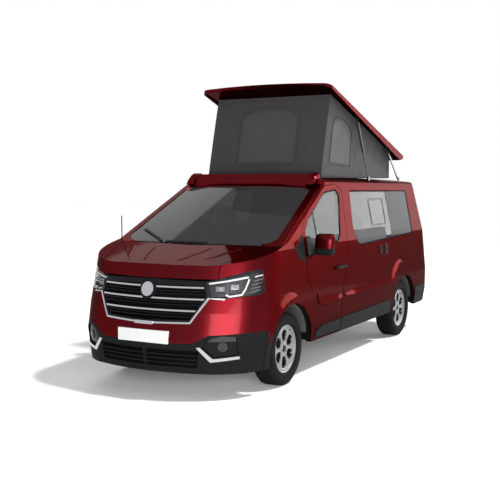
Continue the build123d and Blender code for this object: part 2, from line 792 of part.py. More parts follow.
with BuildPart() as dashboard:
    with BuildSketch(Plane.YZ.offset(-dash_half)):
        with BuildLine():
            Polyline(
                (firewall_y + firewall, 760),
                (-1180, 760),
                (-1110, 1060),
                (-1140, 1150),
                (-1300, 1200),
                (firewall_y + firewall, 1235),
                close=True,
            )
        make_face()
    extrude(amount=2 * dash_half)
    add(inner, mode=Mode.INTERSECT)
    sides = [block(x - 100, x + 100, -1300, -300, 0, 1400) for x in (floor_edge + 90, -floor_edge - 90)]
    add(sail_zone + sides, mode=Mode.SUBTRACT)
save(biggest(dashboard.part), "dashboard")

wheel_centre = (seat_x, -1010, 1120)
wheel_tilt = Plane(origin=wheel_centre, x_dir=(1, 0, 0), z_dir=(0, 0.64, 0.77))
with BuildPart() as steering_wheel:
    with BuildSketch(wheel_tilt):
        Circle(195)
        Circle(168, mode=Mode.SUBTRACT)
        Rectangle(340, 60)
    extrude(amount=14, both=True)
    with BuildSketch(wheel_tilt):
        Circle(62)
    extrude(amount=22, both=True)
    with BuildSketch(wheel_tilt):
        Circle(26)
    extrude(amount=-220)
    add(dashboard.part, mode=Mode.SUBTRACT)
save(biggest(steering_wheel.part), "steering_wheel")

bench = (-560, 560, 760, 1330)
with BuildPart() as bench_base:
    add(block(bench[0], bench[1], bench[2], bench[3], floor_top, 800))
save(bench_base.part, "bench_base")
with BuildPart() as rear_bench:
    add(block(bench[0], bench[1], bench[2] - 40, bench[3], 800 + seat, 930))
    add(block(bench[0], bench[1], bench[3] - 130, bench[3], 900, 1500))
save(rear_bench.part, "rear_bench")

with BuildPart() as cabinet:
    add(block(600, 1000, 150, 1100, floor_top, 1150))
    add(block(600, 1000, 1100, 1400, 860, 1150))
    add(inner, mode=Mode.INTERSECT)
    with BuildSketch(Plane.YZ.offset(720)):
        with Locations((rear_axle, tyre_radius)):
            Circle(rear_arch + 5)
    extrude(amount=300, mode=Mode.SUBTRACT)
save(biggest(cabinet.part), "cabinet")

# ------------------------------------------------------------------ roof fairing
with BuildPart() as fairing:
    with BuildSketch(Plane.YZ.offset(-735)):
        with BuildLine():
            Polyline((-640, 1840), (-560, 1968), (-500, 1968), (-440, 1840), close=True)
        make_face()
    extrude(amount=1470)
    add(outer.part, mode=Mode.SUBTRACT)
save(biggest(fairing.part), "roof_fairing")

# ------------------------------------------------------------------ pop-up roof
roof_tilt = 18.05
roof_half = 780
roof_rear = (1902, 2156)  # rear lower edge when open
roof_front_u = -2371
roof_side_profile = [(0, 0), (168, 93), (roof_front_u, 32), (roof_front_u + 66, 0)]
roof_skin = 22
boss_radius = 14
skirt = 22
tilt = radians(roof_tilt)
roof_up = Plane(origin=(0, roof_rear[0], roof_rear[1]), x_dir=(1, 0, 0), z_dir=(0, sin(tilt), cos(tilt)))


def on_roof(along, up):
    """Y and Z of a point that lies on the open roof."""
    point = roof_up.origin + roof_up.y_dir * along + roof_up.z_dir * up
    return point.Y, point.Z


def roof_prism(points, half):
    with BuildPart() as prism:
        with BuildSketch(Plane.YZ.offset(-half)):
            with BuildLine():
                Polyline(*[on_roof(u, v) for u, v in points], close=True)
            make_face()
        extrude(amount=2 * half)
    return prism.part


def roof_plan(inset):
    with BuildPart() as plan:
        with BuildSketch(roof_up.offset(-50)):
            with BuildLine():
                half = roof_half - inset
                front = roof_front_u + 60 + inset
                rear = 168 - inset
                Polyline((half, front), (half, rear), (-half, rear), (-half, front))
                ThreePointArc((-half, front), (0, front - 60), (half, front))
            make_face()
            fillet(vertices(), radius=90)
        extrude(amount=250)
    return plan.part


with BuildPart() as roof:
    add(roof_prism(roof_side_profile, roof_half))
    add(roof_plan(0), mode=Mode.INTERSECT)
    hollow_edge = [
        (-60, -20),
        (80, 93 - roof_skin),
        (roof_front_u + 40, 32 - roof_skin),
        (roof_front_u + 60, -20),
    ]
    hollow = roof_prism(hollow_edge, roof_half)
    add(hollow & roof_plan(skirt), mode=Mode.SUBTRACT)
    for side in (1, -1):
        for point in (arm_head, strut_head):
            with BuildSketch(Plane.YZ.offset(side * (link_x + link_half + seat))):
                with Locations(point):
                    Circle(boss_radius)
            extrude(amount=side * (roof_half - 8 - link_x - link_half))
save(biggest(roof.part), "pop_up_roof")

tent_half = 690
tent_wall = 8
tent_outline = [(-312, 1930), (-78, 2900), (1757, 2320), (1757, 1880)]
tent_cut = [(300, 76.2), (300, 400), (-2600, 400), (-2600, 2.8)]  # above the roof's underside
with BuildPart() as tent:
    with BuildSketch(Plane.YZ.offset(-tent_half)):
        with BuildLine():
            Polyline(*tent_outline, close=True)
        make_face()
    extrude(amount=2 * tent_half)
    with BuildSketch(Plane.YZ.offset(-tent_half + tent_wall)):
        with BuildLine():
            Polyline(
                (-336 + tent_wall, 1830),
                (-54 + tent_wall, 3000),
                (1757 - tent_wall, 2430),
                (1757 - tent_wall, 1780),
                close=True,
            )
        make_face()
    extrude(amount=2 * tent_half - 2 * tent_wall, mode=Mode.SUBTRACT)
    add(outer.part, mode=Mode.SUBTRACT)
    add(roof_prism(tent_cut, 900), mode=Mode.SUBTRACT)
save(biggest(tent.part), "tent")

arm_width = 34
eye_radius = 12
rod_radius = 5
cylinder_radius = 14
cylinder_length = 420
bore_length = 290
neck = 45


def side_bar(first, second, width, thick, x):
    with BuildPart() as bar_piece:
        run = Vector(0, second[0] - first[0], second[1] - first[1])
        across = Plane(origin=(x, first[0], first[1]), x_dir=(1, 0, 0), z_dir=run)
        with BuildSketch(across):
            Rectangle(thick, width)
        extrude(amount=run.length)
        for y, z in (first, second):
            with BuildSketch(Plane.YZ.offset(x - thick / 2)):
                with Locations((y, z)):
                    Circle(width / 2)
            extrude(amount=thick)
    return bar_piece.part


def round_bar(first, second, radius, x):
    with BuildPart() as bar_piece:
        run = Vector(0, second[0] - first[0], second[1] - first[1])
        with BuildSketch(Plane(origin=(x, first[0], first[1]), x_dir=(1, 0, 0), z_dir=run)):
            Circle(radius)
        extrude(amount=run.length)
    return bar_piece.part


def eye(point, side):
    """Flat eye at a strut's end."""
    with BuildPart() as disc:
        with BuildSketch(Plane.YZ.offset(side * link_x - link_half)):
            with Locations(point):
                Circle(eye_radius)
        extrude(amount=2 * link_half)
    return disc.part


with BuildPart() as roof_arms:
    for side in (1, -1):
        add(side_bar(arm_foot, arm_head, arm_width, 2 * link_half, side * link_x))
save(roof_arms.part, "roof_arms")

strut_run = hypot(strut_head[0] - strut_foot[0], strut_head[1] - strut_foot[1])
toward = ((strut_head[0] - strut_foot[0]) / strut_run, (strut_head[1] - strut_foot[1]) / strut_run)


def along_strut(distance):
    return strut_foot[0] + toward[0] * distance, strut_foot[1] + toward[1] * distance


rod_end = strut_run - cylinder_length + 40
with BuildPart() as strut_rods:
    for side in (1, -1):
        add(round_bar(along_strut(0), along_strut(rod_end), rod_radius, side * link_x))
        add(eye(strut_foot, side))
save(strut_rods.part, "strut_rods")

with BuildPart() as strut_cylinders:
    for side in (1, -1):
        low = strut_run - cylinder_length
        add(round_bar(along_strut(low), along_strut(strut_run - neck), cylinder_radius, side * link_x))
        start = along_strut(strut_run - neck - 2)
        add(round_bar(start, along_strut(strut_run - 6), rod_radius, side * link_x))
        deep = along_strut(low + bore_length)
        bore = round_bar(along_strut(low - 5), deep, rod_radius + hub_gap, side * link_x)
        add(bore, mode=Mode.SUBTRACT)
        add(eye(strut_head, side))
save(strut_cylinders.part, "strut_cylinders")
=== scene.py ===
import math
from functools import partial

import bmesh
import bpy
from mathutils import Matrix, Vector
from mathutils.bvhtree import BVHTree


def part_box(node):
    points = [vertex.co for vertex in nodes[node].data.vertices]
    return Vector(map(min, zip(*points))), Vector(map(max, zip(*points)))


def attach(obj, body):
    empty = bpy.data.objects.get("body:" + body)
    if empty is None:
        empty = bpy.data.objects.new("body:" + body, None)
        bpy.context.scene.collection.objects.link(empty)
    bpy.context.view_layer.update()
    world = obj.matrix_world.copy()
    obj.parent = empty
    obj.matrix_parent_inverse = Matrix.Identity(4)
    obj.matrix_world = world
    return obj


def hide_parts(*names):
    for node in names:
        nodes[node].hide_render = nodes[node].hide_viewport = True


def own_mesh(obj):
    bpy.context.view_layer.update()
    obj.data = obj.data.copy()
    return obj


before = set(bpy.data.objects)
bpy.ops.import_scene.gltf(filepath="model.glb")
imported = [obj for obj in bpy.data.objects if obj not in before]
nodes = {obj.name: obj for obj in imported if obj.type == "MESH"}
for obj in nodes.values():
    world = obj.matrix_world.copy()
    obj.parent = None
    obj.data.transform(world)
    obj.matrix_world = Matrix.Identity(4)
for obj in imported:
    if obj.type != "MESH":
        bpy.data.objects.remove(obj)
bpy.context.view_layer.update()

# ---- real sizes, in metres
FRONT_AXLE = -1.526
REAR_AXLE = 1.572
TYRE_RADIUS = 0.343
RIM_RADIUS = 0.222
COVER_RADIUS = 0.206
POCKETS = 6
POCKET_MIDDLE = 0.125
POCKET_REACH = 0.054
POCKET_DEPTH = 0.030
WHEELS = {
    "front_left": (1, FRONT_AXLE, 0.8075, "wheel_fl"),
    "front_right": (-1, FRONT_AXLE, 0.8075, "wheel_fr"),
    "rear_left": (1, REAR_AXLE, 0.814, "wheel_rl"),
    "rear_right": (-1, REAR_AXLE, 0.814, "wheel_rr"),
}
ROOF_TILT = math.radians(18.05)
ROOF_REAR = (1.902, 2.156)
TENT_HALF = 0.69
TENT_BASE = 1.93
TENT_REAR = 1.745
TENT_FOOT = -0.306
TENT_LEAN = 0.235

SIDES = ((1, "left"), (-1, "right"))
# Rays at the side, nose and tail pass through these, and start so far before them.
RAY_START = 1.5
SIDE_X = 0.95
NOSE_Y = -2.6
TAIL_Y = 3.5


# ---- materials
def settle(node, **values):
    """Sets inputs of a node, with _ for each blank in their names."""
    for socket, value in values.items():
        node.inputs[socket.replace("_", " ")].default_value = value


def add_node(tree, kind):
    return tree.nodes.new("ShaderNode" + kind)


def noise_node(tree, coords, scale, detail):
    noise = add_node(tree, "TexNoise")
    settle(noise, Scale=scale, Detail=detail)
    tree.links.new(coords.outputs["Object"], noise.inputs["Vector"])
    return noise


def material(
    name, colour, rough, metal=0.0, spread=0.06, rough_spread=0.04,
    scale=30.0, bump=0.05, grain=220.0, level=0.5, **sockets,
):
    """A procedural finish: colour and roughness vary with one noise, and a finer one gives the bump."""
    made = bpy.data.materials.new(name)
    made.use_nodes = True
    tree = made.node_tree
    join = tree.links.new
    shader = tree.nodes["Principled BSDF"]
    coords = add_node(tree, "TexCoord")
    noise = noise_node(tree, coords, scale, 4.0)
    ramp = add_node(tree, "ValToRGB")
    dark, light = ramp.color_ramp.elements
    dark.position = 0.3
    light.position = 0.7
    dark.color = [max(0.0, c * (1 - spread)) for c in colour] + [1.0]
    light.color = [min(1.0, c * (1 + spread)) for c in colour] + [1.0]
    join(noise.outputs["Fac"], ramp.inputs["Fac"])
    join(ramp.outputs["Color"], shader.inputs["Base Color"])
    span = add_node(tree, "MapRange")
    settle(span, To_Min=max(0.0, rough - rough_spread), To_Max=min(1.0, rough + rough_spread))
    join(noise.outputs["Fac"], span.inputs["Value"])
    join(span.outputs["Result"], shader.inputs["Roughness"])
    fine = noise_node(tree, coords, grain, 3.0)
    relief = add_node(tree, "Bump")
    settle(relief, Strength=bump, Distance=0.002)
    join(fine.outputs["Fac"], relief.inputs["Height"])
    join(relief.outputs["Normal"], shader.inputs["Normal"])
    settle(shader, Metallic=metal, Specular_IOR_Level=level, **sockets)
    return made


def weave(made, scale, strength):
    """Adds a woven bump to a fabric."""
    tree = made.node_tree
    join = tree.links.new
    relief = next(n for n in tree.nodes if n.type == "BUMP")
    coords = next(n for n in tree.nodes if n.type == "TEX_COORD")
    both = add_node(tree, "Math")
    both.operation = "MAXIMUM"
    for number, direction in enumerate(("X", "Z")):
        wave = add_node(tree, "TexWave")
        wave.bands_direction = direction
        settle(wave, Scale=scale)
        join(coords.outputs["Object"], wave.inputs["Vector"])
        join(wave.outputs["Fac"], both.inputs[number])
    join(both.outputs["Value"], relief.inputs["Height"])
    settle(relief, Strength=strength)


def glass(name, tint, alpha, level=0.15):
    """A clear pane, tinted and partly see-through."""
    made = material(name, tint, 0.035, 0.0, 0.03, 0.015, 8.0, 0.0, level=level, Alpha=alpha)
    made.surface_render_method = "BLENDED"
    return made


paint = material(
    "paint", (0.086, 0.0040, 0.0065), 0.31, 1.0, 0.04, 0.03, 9.0, 0.003, 900.0,
    Coat_Weight=0.06, Coat_Roughness=0.05, Specular_Tint=(0.30, 0.02, 0.04, 1.0),
)
black_plastic = material(
    "black_plastic", (0.0068, 0.0075, 0.0075), 0.62, 0.0, 0.15, 0.06, 40.0, 0.25, 700.0, 0.05
)
gloss_black = material("gloss_black", (0.007, 0.007, 0.008), 0.22, 0.0, 0.1, 0.04, 20.0, 0.02, 300.0, 0.08)
# Very dark black for the seals and arch liners, also used for painted shade: the sheets behind the grille
# and intake and the inlet slots.
deep_black_and_shade = material("deep_black_and_shade", (0.004, 0.004, 0.004), 0.8, 0.0, 0.1, 0.05, 30.0, 0.1, level=0.03)
red_lens = material("red_lens", (0.26, 0.004, 0.006), 0.2, 0.0, 0.1, 0.03, 60.0, 0.1, 150.0, 0.3)
rubber = material("rubber", (0.0065, 0.0065, 0.007), 0.8, 0.0, 0.18, 0.07, 35.0, 0.3, 260.0, 0.06)
pocket_black = material("pocket_black", (0.005, 0.005, 0.005), 0.7, 0.0, 0.1, 0.05, 35.0, 0.1, level=0.03)
# Dark sheet on the side windows: a real tint on the rear windows, painted shade in the bands on the lower
# part of the door and side windows.
tint_and_shade_film = material("tint_and_shade_film", (0.022, 0.023, 0.0245), 0.55, 0.0, 0.05, 0.05, 8.0, 0.0, level=0.1)
chrome = material("chrome", (0.46, 0.46, 0.48), 0.2, 1.0, 0.03, 0.04, 25.0, 0.02)
rod_chrome = material("rod_chrome", (0.62, 0.62, 0.63), 0.14, 1.0, 0.05, 0.03, 40.0, 0.02)
silver = material("silver", (0.21, 0.21, 0.215), 0.42, 0.6, 0.05, 0.05, 22.0, 0.03, 500.0)
plate_white = material("plate_white", (0.60, 0.60, 0.60), 0.38, 0.0, 0.02, 0.04, 20.0, 0.03)
white_lens = material("white_lens", (0.80, 0.81, 0.83), 0.18, 0.0, 0.02, 0.03, 60.0, 0.05, 150.0)
lamp_dark = material("lamp_dark", (0.022, 0.023, 0.025), 0.3, 0.1, 0.15, 0.05, 40.0, 0.05)
reflector = material("reflector", (0.26, 0.265, 0.275), 0.16, 1.0, 0.05, 0.04, 30.0, 0.05)
steel = material("steel", (0.045, 0.045, 0.047), 0.55, 0.2, 0.2, 0.08, 20.0, 0.15)
black_metal = material("black_metal", (0.014, 0.014, 0.015), 0.36, 0.2, 0.15, 0.06, 30.0, 0.04)
underbody = material("underbody", (0.05, 0.05, 0.05), 0.8, 0.0, 0.2, 0.08, 12.0, 0.4, 120.0)
engine_metal = material("engine_metal", (0.20, 0.20, 0.20), 0.55, 0.6, 0.2, 0.1, 25.0, 0.4, 90.0)
exhaust_steel = material("exhaust_steel", (0.34, 0.32, 0.29), 0.42, 0.9, 0.2, 0.1, 18.0, 0.1)
dash_plastic = material("dash_plastic", (0.036, 0.036, 0.039), 0.7, 0.0, 0.12, 0.05, 40.0, 0.3, 600.0)
leather = material("leather", (0.018, 0.018, 0.018), 0.5, 0.0, 0.15, 0.08, 50.0, 0.35, 350.0)
laminate = material("laminate", (0.50, 0.48, 0.45), 0.48, 0.0, 0.08, 0.06, 6.0, 0.05)
hob_glass = material("hob_glass", (0.010, 0.010, 0.011), 0.12, 0.0, 0.1, 0.04, 20.0, 0.02, 300.0)
canvas_seam = material("canvas_seam", (0.023, 0.0215, 0.023), 0.9, 0.0, 0.1, 0.05, 30.0, 0.2)
canvas = material("canvas", (0.030, 0.028, 0.030), 0.85, 0.0, 0.12, 0.05, 14.0, 0.3)
canvas_window = material("canvas_window", (0.036, 0.034, 0.037), 0.75, 0.0, 0.1, 0.08, 10.0, 0.2)
seat_fabric = material("seat_fabric", (0.055, 0.057, 0.062), 0.92, 0.0, 0.15, 0.04, 60.0, 0.3)
lining = material("lining", (0.060, 0.060, 0.063), 0.9, 0.0, 0.1, 0.05, 30.0, 0.2)
weave(canvas, 260.0, 0.12)
weave(canvas_window, 420.0, 0.08)
weave(seat_fabric, 180.0, 0.25)
weave(lining, 200.0, 0.15)
# The windscreen is given a nearly opaque dark tint: painted shade of the cabin seen through it.
shaded_screen_glass = glass("shaded_screen_glass", (0.034, 0.033, 0.036), 0.88, 0.02)
side_glass = glass("side_glass", (0.05, 0.055, 0.056), 0.30)
privacy_glass = glass("privacy_glass", (0.030, 0.031, 0.033), 0.80)
lamp_cover = glass("lamp_cover", (0.05, 0.052, 0.055), 0.2)

CAD_FINISH = {
    paint: (
        "body_shell", "bonnet", "front_bumper", "front_door_left", "front_door_right", "front_wings",
        "mirror_left", "mirror_right", "pop_up_roof", "roof_fairing", "sliding_door", "tailgate",
    ),
    black_plastic: (
        "antenna", "cowl", "door_trim_left", "door_trim_right", "fuel_tank", "lower_bumper",
        "rear_bumper", "sail_panels", "seat_bases", "side_trim", "wipers",
    ),
    gloss_black: ("fog_lamps", "grille"),
    chrome: ("chrome_trim",),
    plate_white: ("front_plate",),
    lamp_cover: ("headlamps",),
    red_lens: ("tail_lamps",),
    side_glass: ("door_glass_left", "door_glass_right", "side_glass"),
    privacy_glass: ("tailgate_glass",),
    shaded_screen_glass: ("windscreen",),
    black_metal: ("hinge_mounts", "roof_arms", "strut_cylinders", "strut_rods"),
    steel: ("front_subframe", "knuckle_left", "knuckle_right", "rear_axle"),
    engine_metal: ("engine",),
    exhaust_steel: ("exhaust",),
    underbody: ("floor_pan",),
    silver: tuple(f"wheel_{place}" for place in WHEELS),
    rubber: tuple(f"tyre_{place}" for place in WHEELS),
    laminate: ("bench_base", "cabinet"),
    seat_fabric: ("front_seats", "rear_bench"),
    dash_plastic: ("dashboard",),
    leather: ("steering_wheel",),
    canvas: ("tent",),
}
for finish, names in CAD_FINISH.items():
    for name in names:
        for row in nodes[name].material_slots:
            row.material = finish


# ---- mesh helpers
def placed(name, data):
    made = bpy.data.objects.new(name, data)
    bpy.context.scene.collection.objects.link(made)
    return made


def piece(
    name, verts, faces, finish, body="chassis", sharp=35.0,
    second=None, second_faces=(),
):
    """A mesh that rides a body, with a second finish on some of its faces if one is given."""
    mesh = bpy.data.meshes.new(name)
    mesh.from_pydata([tuple(v) for v in verts], [], faces)
    mesh.materials.append(finish)
    if second:
        mesh.materials.append(second)
        for index in second_faces:
            mesh.polygons[index].material_index = 1
    work = bmesh.new()
    work.from_mesh(mesh)
    bmesh.ops.recalc_face_normals(work, faces=work.faces)
    work.to_mesh(mesh)
    work.free()
    mesh.shade_smooth()
    mesh.set_sharp_from_angle(angle=math.radians(sharp))
    made = placed(name, mesh)
    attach(made, body)
    return made


def grid_faces(across, down):
    """Quads of an open grid of points laid row after row."""
    wide = across + 1
    starts = [j * wide + i for j in range(down) for i in range(across)]
    return [(a, a + 1, a + wide + 1, a + wide) for a in starts]


def ring_faces(around, rings, closed=False, capped=False, first=0):
    """Quads between rings of points laid one after another, and caps on the first and last ring."""
    faces = []
    for j in range(rings if closed else rings - 1):
        low, high = first + j * around, first + (j + 1) % rings * around
        for k in range(around):
            after = (k + 1) % around
            faces.append((low + k, low + after, high + after, high + k))
    if capped:
        faces.append(tuple(range(around)))
        faces.append(tuple((rings - 1) * around + k for k in range(around)))
    return faces


def spun_faces(steps, size):
    """Quads of a closed section turned about an axis, its points laid step after step."""
    faces = []
    for k in range(steps):
        here, ahead = k * size, (k + 1) % steps * size
        for j in range(size):
            after = (j + 1) % size
            faces.append((here + j, ahead + j, ahead + after, here + after))
    return faces


def tree_of(*names):
    """A ray-casting tree over some CAD nodes."""
    verts, faces = [], []
    for name in names:
        mesh = nodes[name].data
        start = len(verts)
        verts += [v.co.copy() for v in mesh.vertices]
        faces += [[start + i for i in p.vertices] for p in mesh.polygons]
    return BVHTree.FromPolygons(verts, faces)


def cast(tree, point, toward):
    """The point and outward normal where a ray from outside first meets the surface."""
    toward = Vector(toward).normalized()
    where, normal, _, _ = tree.ray_cast(Vector(point) - toward * RAY_START, toward)
    if where is None:
        where, normal, _, _ = tree.find_nearest(Vector(point))
    if normal.dot(toward) > 0:
        normal = -normal
    return where, normal


def steps_between(low, high, count):
    return [low + (high - low) * k / count for k in range(count + 1)]


def spaced(points, step, closed=False):
    """The same line with points no more than a step apart."""
    rows = [Vector(p) for p in points]
    if closed:
        rows.append(rows[0])
    out = [rows[0]]
    for a, b in zip(rows, rows[1:]):
        count = max(1, math.ceil((b - a).length / step))
        out += [a.lerp(b, i / count) for i in range(1, count + 1)]
    return out[:-1] if closed else out


def direction(rows, i, closed):
    """The way a line runs at one of its points."""
    ahead = rows[(i + 1) % len(rows)] if closed or i + 1 < len(rows) else rows[i]
    behind = rows[i - 1] if closed or i else rows[i]
    return (ahead - behind).normalized()


def tube(name, path, radius, finish, body="chassis", sides=10, flat=1.0, up=(0, 0, 1), closed=False):
    """A rod of round or flattened section along a path."""
    rows = [Vector(p) for p in path]
    verts = []
    for i, p in enumerate(rows):
        along = direction(rows, i, closed)
        side = along.cross(Vector(up))
        if side.length < 1e-4:
            side = along.cross(Vector((1, 0, 0)))
        side.normalize()
        top = side.cross(along)
        for k in range(sides):
            a = 2 * math.pi * k / sides
            verts.append(p + side * (radius * math.cos(a)) + top * (radius * flat * math.sin(a)))
    return piece(name, verts, ring_faces(sides, len(rows), closed, not closed), finish, body)


# Sections of strips: shares of the width and of the height. A height under 0 lies under the surface.
ROUND_SECTION = [(-0.5, -1), (-0.5, 0.25), (-0.42, 0.75), (-0.25, 1.0)]
ROUND_SECTION += [(-across, up) for across, up in reversed(ROUND_SECTION)]
SOFT_SECTION = [(-0.5, -1), (-0.5, 0.02), (-0.35, 0.22), (-0.15, 0.8)]
SOFT_SECTION += [(0.0, 1.0)] + [(-across, up) for across, up in reversed(SOFT_SECTION)]
LEDGE_SECTION = [(-0.5, -1), (-0.5, 0.02), (-0.3, 0.2), (0.0, 0.55), (0.25, 0.9)]
LEDGE_SECTION += [(0.34, 1.0), (0.42, 0.8), (0.5, 0.15), (0.5, -1)]
STRIP_SINK = 0.003
STRIP_STEP = 0.02


def strip(
    name, tree, path, toward, width, height, finish, body="chassis",
    record_slot=None, closed=False, taper=0.0, section=ROUND_SECTION,
):
    """A strip that hugs a CAD surface, found by rays cast along one direction."""
    hits = [cast(tree, p, toward) for p in spaced(path, STRIP_STEP, closed)]
    spots = [p for p, _ in hits]
    count = len(hits)
    verts = []
    for i, p in enumerate(spots):
        near = [hits[j % count if closed else min(max(j, 0), count - 1)][1] for j in (i - 1, i, i + 1)]
        normal = (near[0] + near[1] + near[2]).normalized()
        side = direction(spots, i, closed).cross(normal).normalized()
        share = i / max(1, count - 1)
        wide = width * (1 - taper * max(0.0, 1 - 4 * min(share, 1 - share)))
        for a, b in section:
            verts.append(p + side * (a * wide) + normal * (b * height if b > 0 else -STRIP_SINK))
    faces = ring_faces(len(section), count, closed, not closed)
    return piece(name, verts, faces, finish, body)


def prism(name, outline, depth, at, turn, finish, body="chassis", edge=0.003):
    """A flat outline given a depth, with its front edge rounded, placed by an origin and a 3x3 turn."""
    n = len(outline)
    middle = Vector((sum(p[0] for p in outline) / n, sum(p[1] for p in outline) / n))
    inner = []
    for p in outline:
        away = Vector(p) - middle
        inner.append(middle + away * max(0.0, 1 - edge / max(away.length, 1e-6)))
    verts = []
    for ring, level in ((outline, 0.0), (outline, depth - edge * 0.7), (inner, depth)):
        verts += [Vector(at) + turn @ Vector((a, b, level)) for a, b in ring]
    faces = ring_faces(n, 3)
    faces.append(tuple(range(n - 1, -1, -1)))
    faces.append(tuple(2 * n + k for k in range(n)))
    return piece(name, verts, faces, finish, body)


def rounded(width, height, radius):
    """A rectangle with round corners, as an outline."""
    out = []
    for cx, cy, start in ((1, 1, 0), (-1, 1, 90), (-1, -1, 180), (1, -1, 270)):
        for k in range(6):
            a = math.radians(start + 18 * k)
            x = cx * (width / 2 - radius) + radius * math.cos(a)
            out.append((x, cy * (height / 2 - radius) + radius * math.sin(a)))
    return out


def oval(half_x, half_y, steps, middle=(0, 0)):
    turns = [2 * math.pi * k / steps for k in range(steps)]
    return [(middle[0] + half_x * math.cos(a), middle[1] + half_y * math.sin(a)) for a in turns]


def disc(radius, steps=28):
    return oval(radius, radius, steps)


def facing(out):
    """A turn whose third axis is the outward direction and whose second is up."""
    third = Vector(out).normalized()
    first = Vector((0, 0, 1)).cross(third).normalized()
    return Matrix((first, third.cross(first), third)).transposed()


BLOCK_AROUND = 28
BLOCK_DOWN = 14


def signed_power(value, exponent):
    return math.copysign(abs(value) ** exponent, value)


def soft_block(around, down, square, plan_square):
    """Points of a rounded block of half size 1, ring after ring from its foot up."""
    points = []
    for j in range(down + 1):
        b = math.pi * (j / down - 0.5)
        reach = signed_power(math.cos(b), 2 / square)
        for i in range(around):
            a = 2 * math.pi * i / around
            x = reach * signed_power(math.cos(a), 2 / plan_square)
            y = reach * signed_power(math.sin(a), 2 / plan_square)
            points.append((x, y, signed_power(math.sin(b), 2 / square)))
    return points


def lobe(name, size, centre, square, finish, body="chassis"):
    """A smooth rounded block."""
    half = [length / 2 for length in size]
    rows = soft_block(BLOCK_AROUND, BLOCK_DOWN, square, square)
    verts = [Vector(centre) + Vector((x * half[0], y * half[1], z * half[2])) for x, y, z in rows]
    return piece(name, verts, ring_faces(BLOCK_AROUND, BLOCK_DOWN + 1), finish, body, 60.0)


# ---- wheels and tyres
GROOVES = (0.018, 0.054)
TYRE_STEPS = 168
COVER_RINGS = 44
COVER_STEPS = 240
HUB_HOLE = 0.004
LIP_RADIUS = RIM_RADIUS + 0.001
COVER_LIP = [(0.210, 0.0795), (0.216, 0.0835), (LIP_RADIUS, 0.0845), (LIP_RADIUS, 0.060)]
COVER_LIP += [(LIP_RADIUS, -0.080), (0.204, -0.080), (0.200, 0.02), (0.202, 0.055)]
BRIGHT_LIP = 4  # the lip's faces after this many are dark
BRAKE_DISC = [(0.030, 0.030), (0.075, 0.030), (0.078, 0.006), (0.145, 0.006)]
BRAKE_DISC += [(0.148, 0.004), (0.148, -0.018), (0.145, -0.020), (0.030, -0.020)]
DISC_STEPS = 72


def tyre_profile():
    half = [(RIM_RADIUS + 0.002, 0.0900), (0.234, 0.0990), (0.246, 0.1050), (0.254, 0.1068)]
    half += [(0.258, 0.1050), (0.284, 0.1066), (0.300, 0.1060), (0.303, 0.1040)]
    half += [(0.318, 0.0985), (0.331, 0.0890), (0.3385, 0.0800), (0.3415, 0.0700)]
    for groove in reversed(GROOVES):
        half += [(0.3424, groove + 0.007), (0.3420, groove + 0.0055), (0.3345, groove + 0.0040)]
        half += [(0.3345, groove - 0.0040), (0.3428, groove - 0.0055), (0.3430, groove - 0.007)]
    return half + [(r, -off) for r, off in reversed(half)]


def cover_height(radius, angle):
    """Offset of the wheel cover's face, and how deep a pocket is there from 0 to 1."""
    share = radius / COVER_RADIUS
    face = 0.062 + 0.012 * math.sin(min(1.0, share * 1.15) * math.pi * 0.5)
    if share > 0.9:
        face += 0.004 * math.sin((share - 0.9) / 0.1 * math.pi)
    elif share > 0.86:
        face -= 0.004 * math.sin((share - 0.86) / 0.04 * math.pi)
    step = 2 * math.pi / POCKETS
    off = abs((angle + step / 2) % step - step / 2) * radius
    along = (radius - POCKET_MIDDLE) / POCKET_REACH
    across = off / (0.008 + 0.32 * radius)
    inside = 1.0 - (abs(along) ** 2.6 + abs(across) ** 2.6)
    deep = max(0.0, min(1.0, inside / 0.28))
    spoke = abs((angle % step) - step / 2) * radius
    if 0.06 < radius < 0.15:
        face -= 0.003 * max(0.0, 1 - (spoke / 0.008) ** 2) * math.sin((radius - 0.06) / 0.09 * math.pi)
    if radius < 0.036:
        face += 0.004
    return face - POCKET_DEPTH * deep * deep * (3 - 2 * deep), deep


def cover_radius(ring):
    return HUB_HOLE + (COVER_RADIUS - HUB_HOLE) * ring / COVER_RINGS


